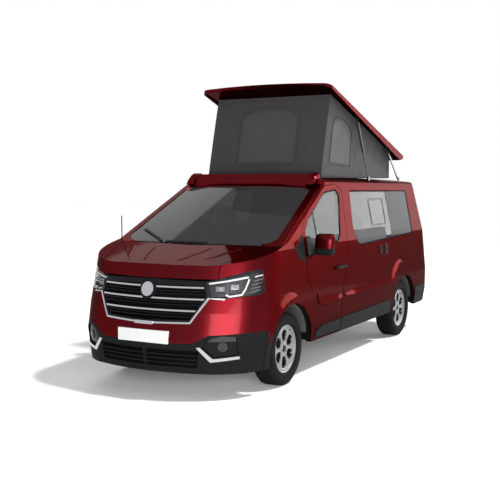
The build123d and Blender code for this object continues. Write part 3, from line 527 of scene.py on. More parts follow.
def make_wheel(place):
    side, axle, middle, body = WHEELS[place]
    centre = Vector((side * middle, axle, TYRE_RADIUS))

    def at(radius, angle, off):
        return centre + Vector((side * off, radius * math.sin(angle), radius * math.cos(angle)))

    def spun(rows, steps):
        return [at(radius, 2 * math.pi * k / steps, off) for k in range(steps) for radius, off in rows]

    profile = tyre_profile()
    verts = []
    for k in range(TYRE_STEPS):
        angle = 2 * math.pi * k / TYRE_STEPS
        for radius, off in profile:
            low = 0.0
            if radius > 0.325 and abs(off) > 0.060 and (k + (off > 0) * 2) % 4 == 0:
                low = 0.0065
            elif radius > 0.340 and 0.022 < abs(off) < 0.052 and (k + 1) % 4 == 0:
                low = 0.0035
            verts.append(at(radius - low, angle + 0.006 * math.sin(off * 40), off))
    faces = spun_faces(TYRE_STEPS, len(profile))
    tyre = piece(f"tread_{place}", verts, faces, rubber, body, 40.0)
    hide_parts(f"tyre_{place}")

    verts, dark = [], []
    for i in range(COVER_RINGS + 1):
        for k in range(COVER_STEPS):
            angle = 2 * math.pi * k / COVER_STEPS
            verts.append(at(cover_radius(i), angle, cover_height(cover_radius(i), angle)[0]))
    for i in range(COVER_RINGS):
        radius = cover_radius(i + 0.5)
        for k in range(COVER_STEPS):
            deep = cover_height(radius, 2 * math.pi * (k + 0.5) / COVER_STEPS)[1]
            if deep > 0.3 or radius < 0.028:
                dark.append(i * COVER_STEPS + k)
    faces = ring_faces(COVER_STEPS, COVER_RINGS + 1)
    dark.append(len(faces))
    faces.append(tuple(range(COVER_STEPS)))
    base, size = len(verts), len(COVER_LIP)
    verts += spun(COVER_LIP, COVER_STEPS)
    for k in range(COVER_STEPS):
        outer, after = COVER_RINGS * COVER_STEPS, (k + 1) % COVER_STEPS
        here, ahead = base + k * size, base + after * size
        faces.append((outer + k, outer + after, ahead, here))
        for j in range(size - 1):
            if j >= BRIGHT_LIP:
                dark.append(len(faces))
            faces.append((here + j, ahead + j, ahead + j + 1, here + j + 1))
    cover = piece(f"cover_{place}", verts, faces, silver, body, 40.0, pocket_black, dark)
    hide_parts(f"wheel_{place}")

    faces = spun_faces(DISC_STEPS, len(BRAKE_DISC))
    piece(f"brake_disc_{place}", spun(BRAKE_DISC, DISC_STEPS), faces, exhaust_steel, body)
    turn = facing((side, 0, 0))
    for k in range(5):
        spot = at(0.050, 2 * math.pi * k / 5, 0.060)
        prism(f"bolt_{place}_{k}", disc(0.0085, 6), 0.016, spot, turn, rod_chrome, body, edge=0.002)
    prism(f"cap_{place}", disc(0.031), 0.010, at(0, 0, 0.0665), turn, gloss_black, body, edge=0.004)
    tube(f"valve_{place}", [at(0.192, 0.52, 0.070), at(0.186, 0.52, 0.088)], 0.004, rubber, body)


for place in WHEELS:
    make_wheel(place)


# ---- tent of the raised roof
CLOTH_LIFT = 0.002
SEAM_LIFT = 0.003
PATCH_RINGS = 6


def roof_line(along, up):
    """A point of the raised roof as y and z, from its rear end along and up from its underside."""
    y = ROOF_REAR[0] + along * math.cos(ROOF_TILT) + up * math.sin(ROOF_TILT)
    return y, ROOF_REAR[1] - along * math.sin(ROOF_TILT) + up * math.cos(ROOF_TILT)


def tent_top(y):
    """Height where the cloth meets the underside of the raised roof."""
    a, b = roof_line(-2.6, 0.0), roof_line(0.3, 0.060)
    return a[1] + (b[1] - a[1]) * (y - a[0]) / (b[0] - a[0])


def lean(share):
    """Where the front cloth stands at a share of its height."""
    return TENT_FOOT + TENT_LEAN * share


def side_point(side, u, v, out=0.0):
    """A point of a side cloth, from its shares of length and height."""
    front = lean(v)
    y = front + (TENT_REAR - front) * u
    z = TENT_BASE + (tent_top(y) - TENT_BASE) * v
    belly = math.sin(math.pi * v) * math.sin(math.pi * u)
    fold = 0.004 * math.sin(19 * u + 5 * v) * math.sin(math.pi * v) + 0.003 * math.sin(47 * u - 7 * v)
    x = TENT_HALF - 0.022 * math.sin(math.pi * v) * (0.4 + 0.6 * math.sin(math.pi * u)) + fold * belly
    return Vector((side * (x + out), y, z))


def end_point(rear, u, v, out=0.0):
    """A point of the front or rear cloth, from its shares of width and height."""
    y = TENT_REAR if rear else lean(v)
    z = TENT_BASE + (tent_top(y) - TENT_BASE) * v
    belly = math.sin(math.pi * v) * math.sin(math.pi * u)
    dent = 0.018 * belly + 0.004 * math.sin(23 * u + 4 * v) * belly
    y += out - dent if rear else dent - out
    return Vector((TENT_HALF * (2 * u - 1), y, z))


def folding(made):
    """Gives a piece of the tent a mesh of its own."""
    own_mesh(made)
    return made


def cloth(name, verts, faces, finish):
    return folding(piece(name, verts, faces, finish, "chassis", 60.0))


def patch_on(name, where, outline):
    """A window sewn on a cloth, its outline given in the cloth's own shares."""
    rows = spaced([(a, b, 0) for a, b in outline], 0.03, True)
    middle = sum(rows, Vector()) / len(rows)
    points = [middle] + [middle.lerp(p, r / PATCH_RINGS) for r in range(1, PATCH_RINGS + 1) for p in rows]
    verts = [where(q[0], q[1], CLOTH_LIFT) for q in points]
    n = len(rows)
    faces = [(0, 1 + k, 1 + (k + 1) % n) for k in range(n)] + ring_faces(n, PATCH_RINGS, first=1)
    return cloth(name, verts, faces, canvas_window)


def seam_on(name, where, path, closed=False):
    rows = [where(p[0], p[1], SEAM_LIFT) for p in spaced([(a, b, 0) for a, b in path], 0.025, closed)]
    return folding(tube(name, rows, 0.0022, canvas_seam, sides=6, flat=0.6, closed=closed))


def arch(left, right, low, high):
    """An arched window outline: square at the foot, round at the top."""
    half, mid = (right - left) / 2, (left + right) / 2
    out = [(left, low), (right, low)]
    for a in steps_between(0, math.pi, 8):
        out.append((mid + half * math.cos(a), high + (high - low) * 0.25 * math.sin(a) - 0.05))
    return out


def tent_wall(name, word, where, columns, rows, hem, arches=(), flat=None):
    """A cloth with its hem and, if their arches are given, its window and the zip around it."""
    if arches:
        patch_on(f"tent_window_{word}", where, arch(*arches[0]))
        seam_on(f"tent_zip_{word}", where, arch(*arches[1]), True)
    seam_on(f"tent_hem_{word}", where, [(0.0, hem), (1.0, hem)])
    verts = [where(i / columns, j / rows) for j in range(rows + 1) for i in range(columns + 1)]
    made = cloth(name, verts, grid_faces(columns, rows), canvas)
    area = sum(p.area for p in made.data.polygons)
    flat = flat or (2 * TENT_HALF, area / (2 * TENT_HALF))
    return made


side_arches = ((0.10, 0.36, 0.20, 0.72), (0.085, 0.375, 0.17, 0.74))
for side, word in SIDES:
    where = partial(side_point, side)
    tent_wall(f"tent_side_{word}", word, where, 60, 24, 0.02, side_arches, (2.06, 0.86))
front_arches = ((0.26, 0.74, 0.18, 0.74), (0.235, 0.765, 0.15, 0.77))
tent_front = tent_wall("tent_front", "front", partial(end_point, False), 44, 24, 0.02, front_arches)
tent_wall("tent_rear", "rear", partial(end_point, True), 44, 10, 0.05)
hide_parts("tent")


# ---- cushions
PAD_AROUND = 40
PAD_DOWN = 20
PAD_CROWN = 0.1225
SEAT_X = 0.42
BACK_AXIS = Vector((0, 0.26, 0.966)).normalized()
upright = Matrix.Identity(3)


def turned(second):
    """A turn whose first axis is x and whose second is given."""
    first = Vector((1, 0, 0))
    return Matrix((first, second, first.cross(second))).transposed()


def cushion(name, size, centre, turn, channels=0):
    """A stuffed pad: a rounded block with a crowned face and pressed-in channels."""
    verts = []
    for x, y, z in soft_block(PAD_AROUND, PAD_DOWN, 4.0, 6.0):
        crown = 1 - PAD_CROWN * (x * x + y * y)
        local = Vector((x * size[0] / 2, y * size[1] / 2, z * size[2] / 2 * crown))
        if channels and z > 0.2:
            local.z -= 0.006 * max(0.0, math.cos(channels * math.pi * (x + 1))) ** 8
        verts.append(Vector(centre) + turn @ local)
    faces = ring_faces(PAD_AROUND, PAD_DOWN + 1)
    made = piece(name, verts, faces, seat_fabric, "chassis", 60.0)
    return made


for side, word in SIDES:
    x = side * SEAT_X
    seat = cushion(f"seat_cushion_{word}", (0.49, 0.51, 0.136), (x, -0.80, 0.770), upright, 2)
    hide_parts("front_seats")
    foot = Vector((x, -0.56, 0.80))
    back_turn = turned(BACK_AXIS)
    cushion(f"seat_back_{word}", (0.48, 0.62, 0.116), foot + BACK_AXIS * 0.325, back_turn, 2)
    cushion(f"headrest_{word}", (0.25, 0.17, 0.088), foot + BACK_AXIS * 0.75, back_turn)
    for k in (-1, 1):
        post = foot + Vector((k * 0.05, 0, 0))
        path = [post + BACK_AXIS * 0.62, post + BACK_AXIS * 0.70]
        tube(f"headrest_post_{word}_{k + 1}", path, 0.006, rod_chrome)
bench_seat = cushion("bench_cushion", (1.12, 0.60, 0.128), (0, 1.02, 0.866), upright, 3)
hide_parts("rear_bench")
cushion("bench_back", (1.12, 0.57, 0.128), (0, 1.264, 1.212), turned(Vector((0, 0, 1))), 3)


# ---- headlamps
lamp_tree = tree_of("headlamps")


def on_nose(tree, x, z):
    return cast(tree, (x, NOSE_Y, z), (0, 1, 0))


def sunk(name, path, back, radius, flat, finish):
    """A light bar on both sides, a little under the lamp's surface where there is one."""
    for side, word in SIDES:
        rows = []
        for p in spaced([(a, 0, b) for a, b in path], 0.012):
            where, normal, _, _ = lamp_tree.ray_cast(Vector((side * p[0], -4.0, p[2])), Vector((0, 1, 0)))
            if where:
                rows.append(where + normal * (back if normal.y > 0 else -back))
        tube(f"{name}_{word}", rows, radius, finish, sides=8, flat=flat, up=(0, -1, 0.2))


led_upper = [(0.560, 1.012), (0.700, 1.034), (0.835, 1.062)]
led_outer = [(0.842, 1.045), (0.826, 0.960), (0.808, 0.915), (0.730, 0.902), (0.700, 0.918)]
sunk("lamp_led_upper", led_upper, 0.010, 0.0085, 0.9, white_lens)
sunk("lamp_led_outer", led_outer, 0.010, 0.0085, 0.9, white_lens)
for number, level in enumerate((0.930, 0.962, 0.994, 1.026, 1.062)):
    glow = white_lens if number == 4 else reflector
    louvre = [(0.846 + 0.006 * number, level), (0.900 + 0.004 * number, level + 0.016)]
    sunk(f"lamp_louvre_{number}", louvre, 0.006, 0.0055, 0.8, glow)
lamp_bowl = ("bowl", rounded(0.086, 0.060, 0.014), 0.012, 0.035, 0.010)
lamp_parts = (lamp_bowl, ("eye", disc(0.014), 0.022, 0.029, 0.008))
for number, (x, z) in enumerate(((0.655, 0.968), (0.760, 0.982))):
    for side, word in SIDES:
        skin, normal = on_nose(lamp_tree, side * x, z)
        for part, shape, depth, sunk_by, edge in lamp_parts:
            name, where, turn = f"lamp_{part}_{number}_{word}", skin - normal * sunk_by, facing(normal)
            prism(name, shape, depth, where, turn, reflector, "chassis", edge)
for side, word in SIDES:
    rows = []
    for j in range(11):
        for i in range(23):
            u = i / 22
            low = 0.905 + max(0.0, u - 0.75) * 0.34
            level = low + (1.012 + 0.110 * u - low) * j / 10
            skin, normal = on_nose(lamp_tree, side * (0.555 + 0.425 * u), level)
            rows.append(skin - normal * (0.055 - 0.020 * u))
    piece(f"lamp_housing_{word}", rows, grid_faces(22, 10), lamp_dark, "chassis")


# ---- body side details
side_tree = tree_of(
    "body_shell", "front_wings", "front_door_left", "front_door_right", "sliding_door", "sail_panels"
)
pane_tree = tree_of("side_glass")


def side_strip(name, tree, side, rows, *look, **more):
    """A strip along a side view, run so that its lower edge stays the lower one on both sides."""
    ordered = rows if side > 0 else reversed(rows)
    path = [(side * SIDE_X, y, z) for y, z in ordered]
    strip(name, tree, path, (-side, 0, 0), *look, **more)


def crease(name, tree, side, rows, body="chassis", taper=0.8, width=0.105, height=0.016):
    """A pressed line of the body side."""
    look = (width, height, paint, body, "paint")
    side_strip(name, tree, side, rows, *look, taper=taper, section=LEDGE_SECTION)


def seal(name, tree, side, rows, body="chassis", width=0.020, finish=deep_black_and_shade, closed=True):
    """A thin line on a side window."""
    side_strip(name, tree, side, rows, width, 0.004, finish, body, closed=closed)


def cladding(name, tree, side, rows, width):
    side_strip(name, tree, side, rows, width, 0.006, black_plastic, record_slot="black_plastic")


def window_tint_and_shade(name, tree, side, front, rear, low_edge, top, down, body="chassis"):
    """A dark sheet on a side window, from its lower edge up to one height: a real tint where it covers the
    whole pane, painted shade where it is a band along the lower edge.
    """
    verts = []
    for j in range(down + 1):
        for y in steps_between(front, rear, 16):
            low = low_edge(y)
            level = low + (top - low) * j / down
            where, normal = cast(tree, (side * 0.9, y, level), (-side, 0, 0))
            verts.append(where + normal * 0.0015)
    piece(name, verts, grid_faces(16, down), tint_and_shade_film, body)


def sill(y):
    """Height of the rear window's lower edge."""
    return 1.226 + 0.044 * (y - 1.205)


def band_sill(y):
    """The same edge, raised at the window's front corner."""
    return sill(y) + 0.9 * max(0.0, 0.20 - y)


def door_sill(y):
    """Height of the front door window's lower edge."""
    return 1.178 + 0.137 * (y + 1.150)


crease_door = [(-1.000, 0.800), (-0.955, 0.745), (-0.915, 0.722), (-0.850, 0.716), (-0.400, 0.722)]
crease_end = [(1.230, 0.868), (1.330, 0.925), (1.420, 0.940), (1.500, 0.925)]
crease_rear = [(-0.330, 0.722), (0.500, 0.730), (1.020, 0.742), (1.110, 0.775)] + crease_end
crease_slide = [(-0.300, 0.722), (0.500, 0.730), (0.985, 0.738)]
crease_after = [(1.075, 0.765), (1.110, 0.785)] + crease_end
brow_turns = [math.radians(a) for a in range(168, 74, -6)]
brow = [(FRONT_AXLE + 0.500 * math.cos(a), TYRE_RADIUS + 0.500 * math.sin(a)) for a in brow_turns]
liner_turns = [math.radians(a) for a in range(-2, 184, 6)]
for side, word in SIDES:
    crease(f"crease_door_{word}", tree_of(f"front_door_{word}"), side, crease_door, f"door_{word}")
    if side > 0:
        crease("crease_rear_left", side_tree, side, crease_rear)
    else:
        crease("crease_slide_right", side_tree, side, crease_slide, taper=0.0)
        crease("crease_rear_right", side_tree, side, crease_after)
    crease(f"arch_brow_{word}", side_tree, side, brow, "chassis", 0.9, 0.100, 0.014)
    for axle, reach, tag in ((FRONT_AXLE, 0.4225, "front"), (REAR_AXLE, 0.4055, "rear")):
        verts = []
        for a in liner_turns:
            level = max(0.36, TYRE_RADIUS + reach * math.sin(a))
            for x in (0.715, 0.80, 0.90, 0.966 if level > 0.55 else 0.944):
                verts.append((side * x, axle + reach * math.cos(a), level))
        faces = grid_faces(3, len(liner_turns) - 1)
        piece(f"arch_liner_{tag}_{word}", verts, faces, deep_black_and_shade)

frame_rows = [(0.62, 1.660), (0.62, 1.420), (0.65, 1.395), (1.03, 1.400)]
frame_rows += [(1.06, 1.425), (1.06, 1.665), (1.03, 1.690), (0.65, 1.688)]
door_divider = [(-0.885, 1.205), (-0.900, 1.625)]
door_seal = [(-1.160, 1.205), (-1.160, 1.415), (-1.044, 1.525), (-0.560, 1.780), (-0.262, 1.806)]
door_seal += [(-0.196, 1.738), (-0.335, 1.343), (-0.424, 1.281), (-1.115, 1.172)]
for side, word in SIDES:
    body = f"door_{word}"
    door_glass = tree_of(f"door_glass_{word}")
    whole_door = tree_of(f"front_door_{word}", f"door_glass_{word}")
    window_tint_and_shade(f"rear_film_{word}", pane_tree, side, 1.205, 1.927, sill, 1.787, 12)
    # A dark band on the lower part of the side window: painted shade of the dark cabin seen through the
    # glass.
    window_tint_and_shade(f"rear_shade_band_{word}", pane_tree, side, 0.100, 1.000, band_sill, 1.370, 12)
    seal(f"window_frame_{word}", pane_tree, side, frame_rows, "chassis", 0.012, gloss_black)
    # A dark band on the lower part of the door window: painted shade of the dark cabin seen through the
    # glass.
    window_tint_and_shade(f"door_shade_band_{word}", door_glass, side, -1.150, -0.345, door_sill, 1.345, 6, body)
    seal(f"door_divider_{word}", door_glass, side, door_divider, body, 0.022, gloss_black, False)
    seal(f"door_seal_{word}", whole_door, side, door_seal, body, 0.022)
window_front = [(0.110, 1.790), (0.034, 1.390), (0.112, 1.238), (0.190, 1.205)]
window_rear = [(1.925, 1.254), (1.925, 1.776)]
shell_tree = tree_of("body_shell", "side_glass")
seal("window_seal_left", shell_tree, 1, window_front + window_rear)
slide_seal = window_front + [(1.006, 1.228), (1.006, 1.781)]
seal("window_seal_slide", tree_of("sliding_door", "side_glass"), -1, slide_seal)
seal("window_seal_quarter", shell_tree, -1, [(1.164, 1.781), (1.164, 1.232)] + window_rear)

for number, (y, tall, wide) in enumerate(((0.778, 0.105, 0.060), (0.960, 0.125, 0.085))):
    skin, normal = cast(side_tree, (SIDE_X, y, 1.110), (-1, 0, 0))
    turn = facing(normal)
    plate, where = rounded(wide, tall, 0.014), skin - normal * 0.001
    prism(f"inlet_{number}", plate, 0.008, where, turn, black_plastic, "chassis")
    # The slots are darker bars laid on the inlet plate: painted shade of the slot openings.
    slot = rounded(wide * 0.7, 0.008, 0.003)
    for k in range(3):
        spot = skin + normal * 0.0065 + Vector((0, 0, (k - 1) * tall * 0.24))
        prism(f"inlet_slot_shade_{number}_{k}", slot, 0.003, spot, turn, deep_black_and_shade, edge=0.001)

low_bumper = [(1.975, 0.452), (2.330, 0.458)]
arch_edge = [(-1.972, 0.566), (-1.974, 0.480), (-1.980, 0.400), (-1.982, 0.330), (-1.982, 0.238)]
for side, word in SIDES:
    cladding(f"rear_cladding_{word}", tree_of("body_shell", "rear_bumper"), side, low_bumper, 0.225)
    cladding(f"arch_edge_{word}", tree_of("front_wings", "lower_bumper"), side, arch_edge, 0.080)

# ---- mirrors
for side, word in SIDES:
    body = f"door_{word}"
    low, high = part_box(f"mirror_{word}")
    centre = (low + high) / 2
    half = (high - low) / 2
    cap_x = side * (abs(centre.x) + 0.008)
    for part, finish, top, foot, slot in (
        ("cap", paint, 1.0, -0.34, "paint"),
        ("shoe", black_plastic, -0.34, -1.0, "black_plastic"),
    ):
        verts = []
        for v in steps_between(foot, top, BLOCK_DOWN):
            shrink = max(0.0, 1 - abs(v) ** 4.5) ** 0.35 if abs(v) > 0.5 else 1.0
            shrink = max(shrink, 0.12)
            for i in range(BLOCK_AROUND):
                a = 2 * math.pi * i / BLOCK_AROUND
                px = signed_power(math.cos(a), 0.55)
                py = signed_power(math.sin(a), 0.55)
                bulge = 1.0 + (0.10 if py < 0 else -0.18) * (1 - v * v)
                x = cap_x + side * 0.004 * v + px * (half.x + 0.003) * (0.62 + 0.38 * shrink)
                y = centre.y + py * (half.y * 1.05) * shrink * bulge
                verts.append((x, y, centre.z + v * half.z * 1.08))
        faces = ring_faces(BLOCK_AROUND, BLOCK_DOWN + 1, capped=True)
        made = piece(f"mirror_{part}_{word}", verts, faces, finish, body, 50.0)
        if part == "cap":
            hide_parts(f"mirror_{word}")
    arm = [(side * 0.945, centre.y - 0.010, low.z + 0.030), (cap_x - side * 0.05, centre.y, low.z + 0.045)]
    tube(f"mirror_arm_{word}", spaced(arm, 0.02), 0.026, black_plastic, body, 12, 0.7)
    face = rounded(1.50 * half.x, 1.30 * half.z, 0.03)
    where = (cap_x, centre.y + half.y * 0.78, centre.z + 0.02)
    prism(f"mirror_face_{word}", face, 0.006, where, facing((0, 1, 0)), reflector, body)

# ---- nose details
bonnet_tree = tree_of("bonnet")
for number, (x0, y0, x1, y1) in enumerate(((0.170, -2.26, 0.300, -1.87), (0.420, -2.16, 0.585, -1.83))):
    for side, word in SIDES:
        strip(
            f"bonnet_crease_{number}_{word}", bonnet_tree, [(side * x0, y0, 1.3), (side * x1, y1, 1.3)],
            (0, 0, -1), 0.055, 0.0035, paint, "bonnet_lid", "paint", taper=0.95, section=SOFT_SECTION,
        )
# Near-black sheets behind the grille and the lower intake: painted shade in the openings, standing in for
# the dark parts behind them.
back_tree = tree_of("front_bumper", "lower_bumper", "grille")
for name, half, low, high, sweep in (
    ("grille_shade_back", 0.520, 0.680, 1.030, 0.030),
    ("intake_shade_back", 0.545, 0.275, 0.455, 0.034),
):
    verts = []
    for z in steps_between(low, high, 6):
        for i in range(29):
            x = half * (2 * i / 28 - 1)
            under, _ = on_nose(back_tree, x, low - 0.05)
            over, _ = on_nose(back_tree, x, high + 0.05)
            verts.append((x, max(under.y, over.y) + sweep, z))
    piece(name, verts, grid_faces(28, 6), deep_black_and_shade)
fog_tree = tree_of("fog_lamps")
for side, word in SIDES:
    where, normal = on_nose(fog_tree, side * 0.700, 0.475)
    turn = facing(normal)
    prism(f"fog_ring_{word}", disc(0.042), 0.010, where, turn, lamp_dark, edge=0.006)
    prism(f"fog_lens_{word}", disc(0.033), 0.015, where, turn, hob_glass, "chassis", 0.010)


# ---- rear details
EAR_PROFILE = [(-0.655, 1.858), (-0.620, 1.905), (-0.580, 1.945), (-0.540, 1.968)]
EAR_PROFILE += [(-0.500, 1.980), (-0.472, 1.974), (-0.468, 1.870)]
for side, word in SIDES:
    outline = [(side * y, z) for y, z in EAR_PROFILE]
    turn = facing((side, 0, 0))
    where = (side * 0.668, 0, 0)
    prism(f"fairing_ear_{word}", outline, 0.095, where, turn, paint, "chassis", 0.018)

gate_tree = tree_of("tailgate")
glass_tree = tree_of("tailgate_glass")
GATE = "rear_gate"


def on_tail(x, z, tree=gate_tree):
    return cast(tree, (x, TAIL_Y, z), (0, -1, 0))


def tail_strip(name, tree, rows, width, height, finish, body=GATE):
    strip(name, tree, [(x, 2.9, z) for x, z in rows], (0, -1, 0), width, height, finish, body)


where, normal = on_tail(0.0, 0.790)
turn = facing(normal)
prism("rear_plate_frame", rounded(0.545, 0.135, 0.010), 0.006, where, turn, black_plastic, GATE)
where += normal * 0.006
prism("rear_plate", rounded(0.520, 0.110, 0.006), 0.003, where, turn, plate_white, GATE, edge=0.001)
where, normal = on_tail(0.0, 0.975)
handle = rounded(0.360, 0.050, 0.020)
prism("gate_handle", handle, 0.016, where, facing(normal), gloss_black, GATE, edge=0.006)
for k in (-1, 1):
    spot, normal = on_tail(k * 0.20, 0.912)
    prism(f"plate_lamp_{k + 1}", rounded(0.060, 0.018, 0.006), 0.010, spot, facing(normal), white_lens, GATE)
tail_strip("stop_lamp", gate_tree, [(x, 1.832) for x in (-0.16, -0.05, 0.05, 0.16)], 0.026, 0.006, red_lens)
blade = [(-0.06, 1.225), (-0.20, 1.250), (-0.42, 1.300)]
tail_strip("rear_wiper_blade", glass_tree, blade, 0.014, 0.012, rubber)
arm = []
arm_rows = ((0.02, 1.150, 0.020), (-0.02, 1.200, 0.030), (-0.14, 1.236, 0.026), (-0.26, 1.262, 0.020))
for x, z, lift in arm_rows:
    spot, normal = on_tail(x, z, gate_tree if z < 1.19 else glass_tree)
    arm.append(spot + normal * lift)
tube("rear_wiper_arm", spaced(arm, 0.02), 0.007, black_plastic, GATE, 8, 0.6)
spot, normal = on_tail(0.02, 1.150)
prism("rear_wiper_hub", disc(0.024), 0.030, spot, facing(normal), black_plastic, GATE, edge=0.008)
bumper_tree = tree_of("rear_bumper")
stern_tree = tree_of("tail_lamps")
for side, word in SIDES:
    spot, normal = on_tail(side * 0.720, 0.520, bumper_tree)
    shape = rounded(0.150, 0.032, 0.008)
    prism(f"rear_reflector_{word}", shape, 0.006, spot, facing(normal), red_lens)
    for number, level in enumerate((1.045, 1.150, 1.250)):
        rows = [(side * x, level) for x in (0.905, 0.935, 0.950)]
        tail_strip(f"tail_band_{number}_{word}", stern_tree, rows, 0.010, 0.003, lamp_dark, "chassis")


# ---- cabin details
def inner_panel(name, tree, side, rows, columns, off, finish, body="chassis"):
    """A trim panel that follows the inner face of a wall, from a grid of heights and lengths."""
    verts = []
    for z in rows:
        for y in columns:
            where, _ = cast(tree, (side * SIDE_X, y, z), (side, 0, 0))
            verts.append(where - Vector((side * off, 0, 0)))
    count = len(verts)
    verts += [v + Vector((side * off * 0.9, 0, 0)) for v in verts]
    wide, last = len(columns), len(rows) - 1
    faces = []
    for face in grid_faces(wide - 1, last):
        faces += [face, tuple(count + a for a in face)]
    rim = list(range(wide)) + [j * wide + wide - 1 for j in range(1, last + 1)]
    rim += [last * wide + i for i in range(wide - 2, -1, -1)] + [j * wide for j in range(last - 1, 0, -1)]
    for a, b in zip(rim, rim[1:] + rim[:1]):
        faces.append((a, b, count + b, count + a))
    return piece(name, verts, faces, finish, body, 40.0)


card_rows, card_columns = steps_between(0.62, 1.13, 6), steps_between(-0.98, -0.36, 8)
for side, word in SIDES:
    body = f"door_{word}"
    tree = tree_of(f"front_door_{word}")
    inner_panel(f"door_card_{word}", tree, side, card_rows, card_columns, 0.008, dash_plastic, body)
    spot, _ = cast(tree, (side * SIDE_X, -0.66, 0.93), (side, 0, 0))
    rest = (abs(spot.x) - 0.030) * side
    lobe(f"door_rest_{word}", (0.050, 0.34, 0.055), (rest, -0.66, 0.93), 3.5, leather, body)
    lobe(f"door_lever_{word}", (0.022, 0.11, 0.026), (rest, -0.83, 1.06), 3.0, rod_chrome, body)

board = tree_of("dashboard")
board_turn = facing((0, 1, 0.15))


def on_board(x, z):
    """A point of the dashboard's face towards the seats."""
    return cast(board, (x, -0.9, z), (0, -1, 0))[0]


prism("dash_screen", rounded(0.235, 0.135, 0.010), 0.014, on_board(0.0, 1.085), board_turn, hob_glass)
vent = rounded(0.120, 0.055, 0.014)
vane = rounded(0.100, 0.005, 0.002)
for number, x in enumerate((-0.70, -0.20, 0.20, 0.70)):
    spot = on_board(x, 1.130)
    prism(f"dash_vent_{number}", vent, 0.010, spot, board_turn, gloss_black)
    for k in (-1, 0, 1):
        where = spot + Vector((0, 0.010, k * 0.014))
        name = f"dash_vane_{number}_{k + 1}"
        prism(name, vane, 0.004, where, board_turn, dash_plastic, edge=0.001)
for number, x in enumerate((0.355, 0.485)):
    prism(f"dial_{number}", disc(0.050), 0.008, on_board(x, 1.175), board_turn, hob_glass)
lever = [(0.0, -1.120, 0.905), (0.0, -1.070, 0.960), (0.0, -1.050, 1.010)]
tube("gear_lever", spaced(lever, 0.01), 0.009, rod_chrome)
lobe("gear_knob", (0.042, 0.046, 0.060), (0.0, -1.046, 1.028), 2.4, leather)

cupboard = tree_of("cabinet")
for number, y in enumerate((0.375, 0.775, 1.175)):
    spot, _ = cast(cupboard, (0.0, y, 0.80), (1, 0, 0))
    turn = facing((-1, 0, 0))
    leaf, pull_at = rounded(0.37, 0.50, 0.012), (spot.x - 0.010, y, 0.98)
    prism(f"cabinet_door_{number}", leaf, 0.010, (spot.x, y, 0.80), turn, laminate, edge=0.004)
    prism(f"cabinet_pull_{number}", disc(0.018), 0.018, pull_at, turn, rod_chrome, edge=0.004)

HOB = (0.755, 0.42)
SINK = (0.755, 0.95)
worktop = cast(cupboard, (*HOB, 2.0), (0, 0, -1))[0].z
prism("hob", rounded(0.240, 0.420, 0.020), 0.006, (*HOB, worktop), upright, hob_glass)
for k in (-1, 1):
    ring = oval(0.055, 0.055, 24, (HOB[0], HOB[1] + k * 0.105))
    path = [(x, y, worktop + 0.010) for x, y in ring]
    tube(f"burner_{k + 1}", path, 0.005, steel, sides=8, closed=True)
rim = [(x, y, worktop + 0.003) for x, y in oval(0.105, 0.150, 32, SINK)]
tube("sink_rim", rim, 0.007, rod_chrome, sides=8, closed=True)
prism("sink_lid", oval(0.100, 0.145, 32), 0.005, (*SINK, worktop), upright, exhaust_steel)
tap = [(0.860, 0.0), (0.860, 0.035), (0.845, 0.048), (0.790, 0.046)]
tap_path = [(x, SINK[1], worktop + z) for x, z in tap]
tube("tap", spaced(tap_path, 0.008), 0.008, rod_chrome)

wall_tree = tree_of("body_shell", "sliding_door")
wall_rows, wall_columns = steps_between(0.62, 1.16, 5), steps_between(-0.28, 1.02, 12)
inner_panel("wall_lining_right", wall_tree, -1, wall_rows, wall_columns, 0.004, lining)


# ---- stage, light and camera
FLOOR_HALF = 60
FLOOR_GLOW = 0.06
WORLD_LIGHT = 0.22


def seen_directly(tree):
    """A factor that is 1 for rays of the camera and those that glass passes on or mirrors, else 0."""
    ray = add_node(tree, "LightPath")
    factor = ray.outputs["Is Camera Ray"]
    for kind in ("Is Transmission Ray", "Is Glossy Ray"):
        either = add_node(tree, "Math")
        either.operation = "MAXIMUM"
        tree.links.new(factor, either.inputs[0])
        tree.links.new(ray.outputs[kind], either.inputs[1])
        factor = either.outputs["Value"]
    return factor


corners = [(a * FLOOR_HALF, b * FLOOR_HALF, 0) for a, b in ((-1, -1), (1, -1), (1, 1), (-1, 1))]
floor_mesh = bpy.data.meshes.new("floor")
floor_mesh.from_pydata(corners, [], [(0, 1, 2, 3)])
floor = placed("floor", floor_mesh)
floor_finish = bpy.data.materials.new("floor")
floor_finish.use_nodes = True
floor_tree = floor_finish.node_tree
join = floor_tree.links.new
floor_shader = floor_tree.nodes["Principled BSDF"]
settle(floor_shader, Base_Color=(0.95, 0.95, 0.95, 1), Roughness=0.9)
floor_mesh.materials.append(floor_finish)
floor_glow = add_node(floor_tree, "Emission")
floor_level = add_node(floor_tree, "Math")
floor_level.operation = "MULTIPLY"
floor_level.inputs[1].default_value = FLOOR_GLOW
join(seen_directly(floor_tree), floor_level.inputs[0])
join(floor_level.outputs["Value"], floor_glow.inputs["Strength"])
floor_sum = add_node(floor_tree, "AddShader")
join(floor_shader.outputs["BSDF"], floor_sum.inputs[0])
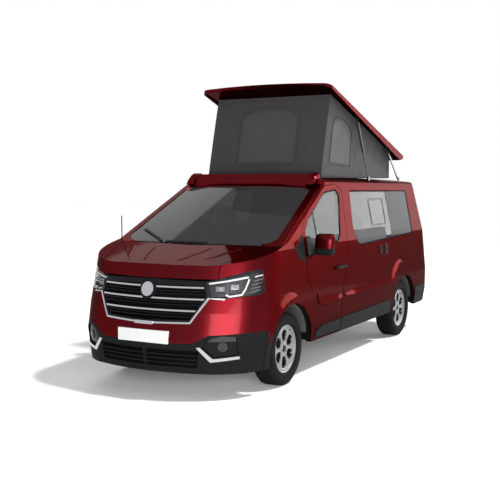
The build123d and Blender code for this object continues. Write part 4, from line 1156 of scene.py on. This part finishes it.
join(floor_glow.outputs["Emission"], floor_sum.inputs[1])
join(floor_sum.outputs["Shader"], floor_tree.nodes["Material Output"].inputs["Surface"])

world = bpy.data.worlds.new("studio")
bpy.context.scene.world = world
world.use_nodes = True
world_tree = world.node_tree
join = world_tree.links.new
backdrop = world_tree.nodes["Background"]
lighting = add_node(world_tree, "Background")
settle(backdrop, Color=(1, 1, 1, 1), Strength=1.0)
settle(lighting, Color=(1, 1, 1, 1), Strength=WORLD_LIGHT)
mixed = add_node(world_tree, "MixShader")
join(seen_directly(world_tree), mixed.inputs["Fac"])
join(lighting.outputs["Background"], mixed.inputs[1])
join(backdrop.outputs["Background"], mixed.inputs[2])
join(mixed.outputs["Shader"], world_tree.nodes["World Output"].inputs["Surface"])


def aimed(at, target):
    """The rotation of a lamp that stands at one point and shines at another."""
    return (Vector(target) - Vector(at)).to_track_quat("-Z", "Y").to_euler()


def area_light(name, at, target, size, power):
    data = bpy.data.lights.new(name, "AREA")
    data.shape = "RECTANGLE"
    data.size, data.size_y = size
    data.energy = power
    lamp = placed(name, data)
    lamp.location = at
    lamp.rotation_euler = aimed(at, target)
    lamp.visible_camera = False


area_light("front", (4.4, -6.6, 1.45), (0.5, -2.0, 0.8), (5.6, 1.7), 460)
area_light("rear_side", (6.2, 12.0, 3.6), (0.9, 0.5, 1.4), (10.0, 3.6), 900)
area_light("top_rear", (-5.5, 3.6, 6.2), (0.0, -1.8, 1.2), (7.0, 3.0), 260)
sun_data = bpy.data.lights.new("sun", "SUN")
sun_data.energy = 2.7
sun_data.angle = math.radians(5.0)
sun = placed("sun", sun_data)
sun.rotation_euler = aimed((3.6, 1.6, 7.0), (0, 0, 0))

camera_data = bpy.data.cameras.new("camera")
camera_data.sensor_width = 36.0
camera_data.lens = 63.57
camera_data.clip_end = 200.0
camera = placed("camera", camera_data)
camera.location = (4.5117, -8.7652, 1.8817)
camera.rotation_euler = (math.radians(85.609), 0, math.radians(28.889))
bpy.context.scene.camera = camera
bpy.context.scene.view_settings.view_transform = "Standard"
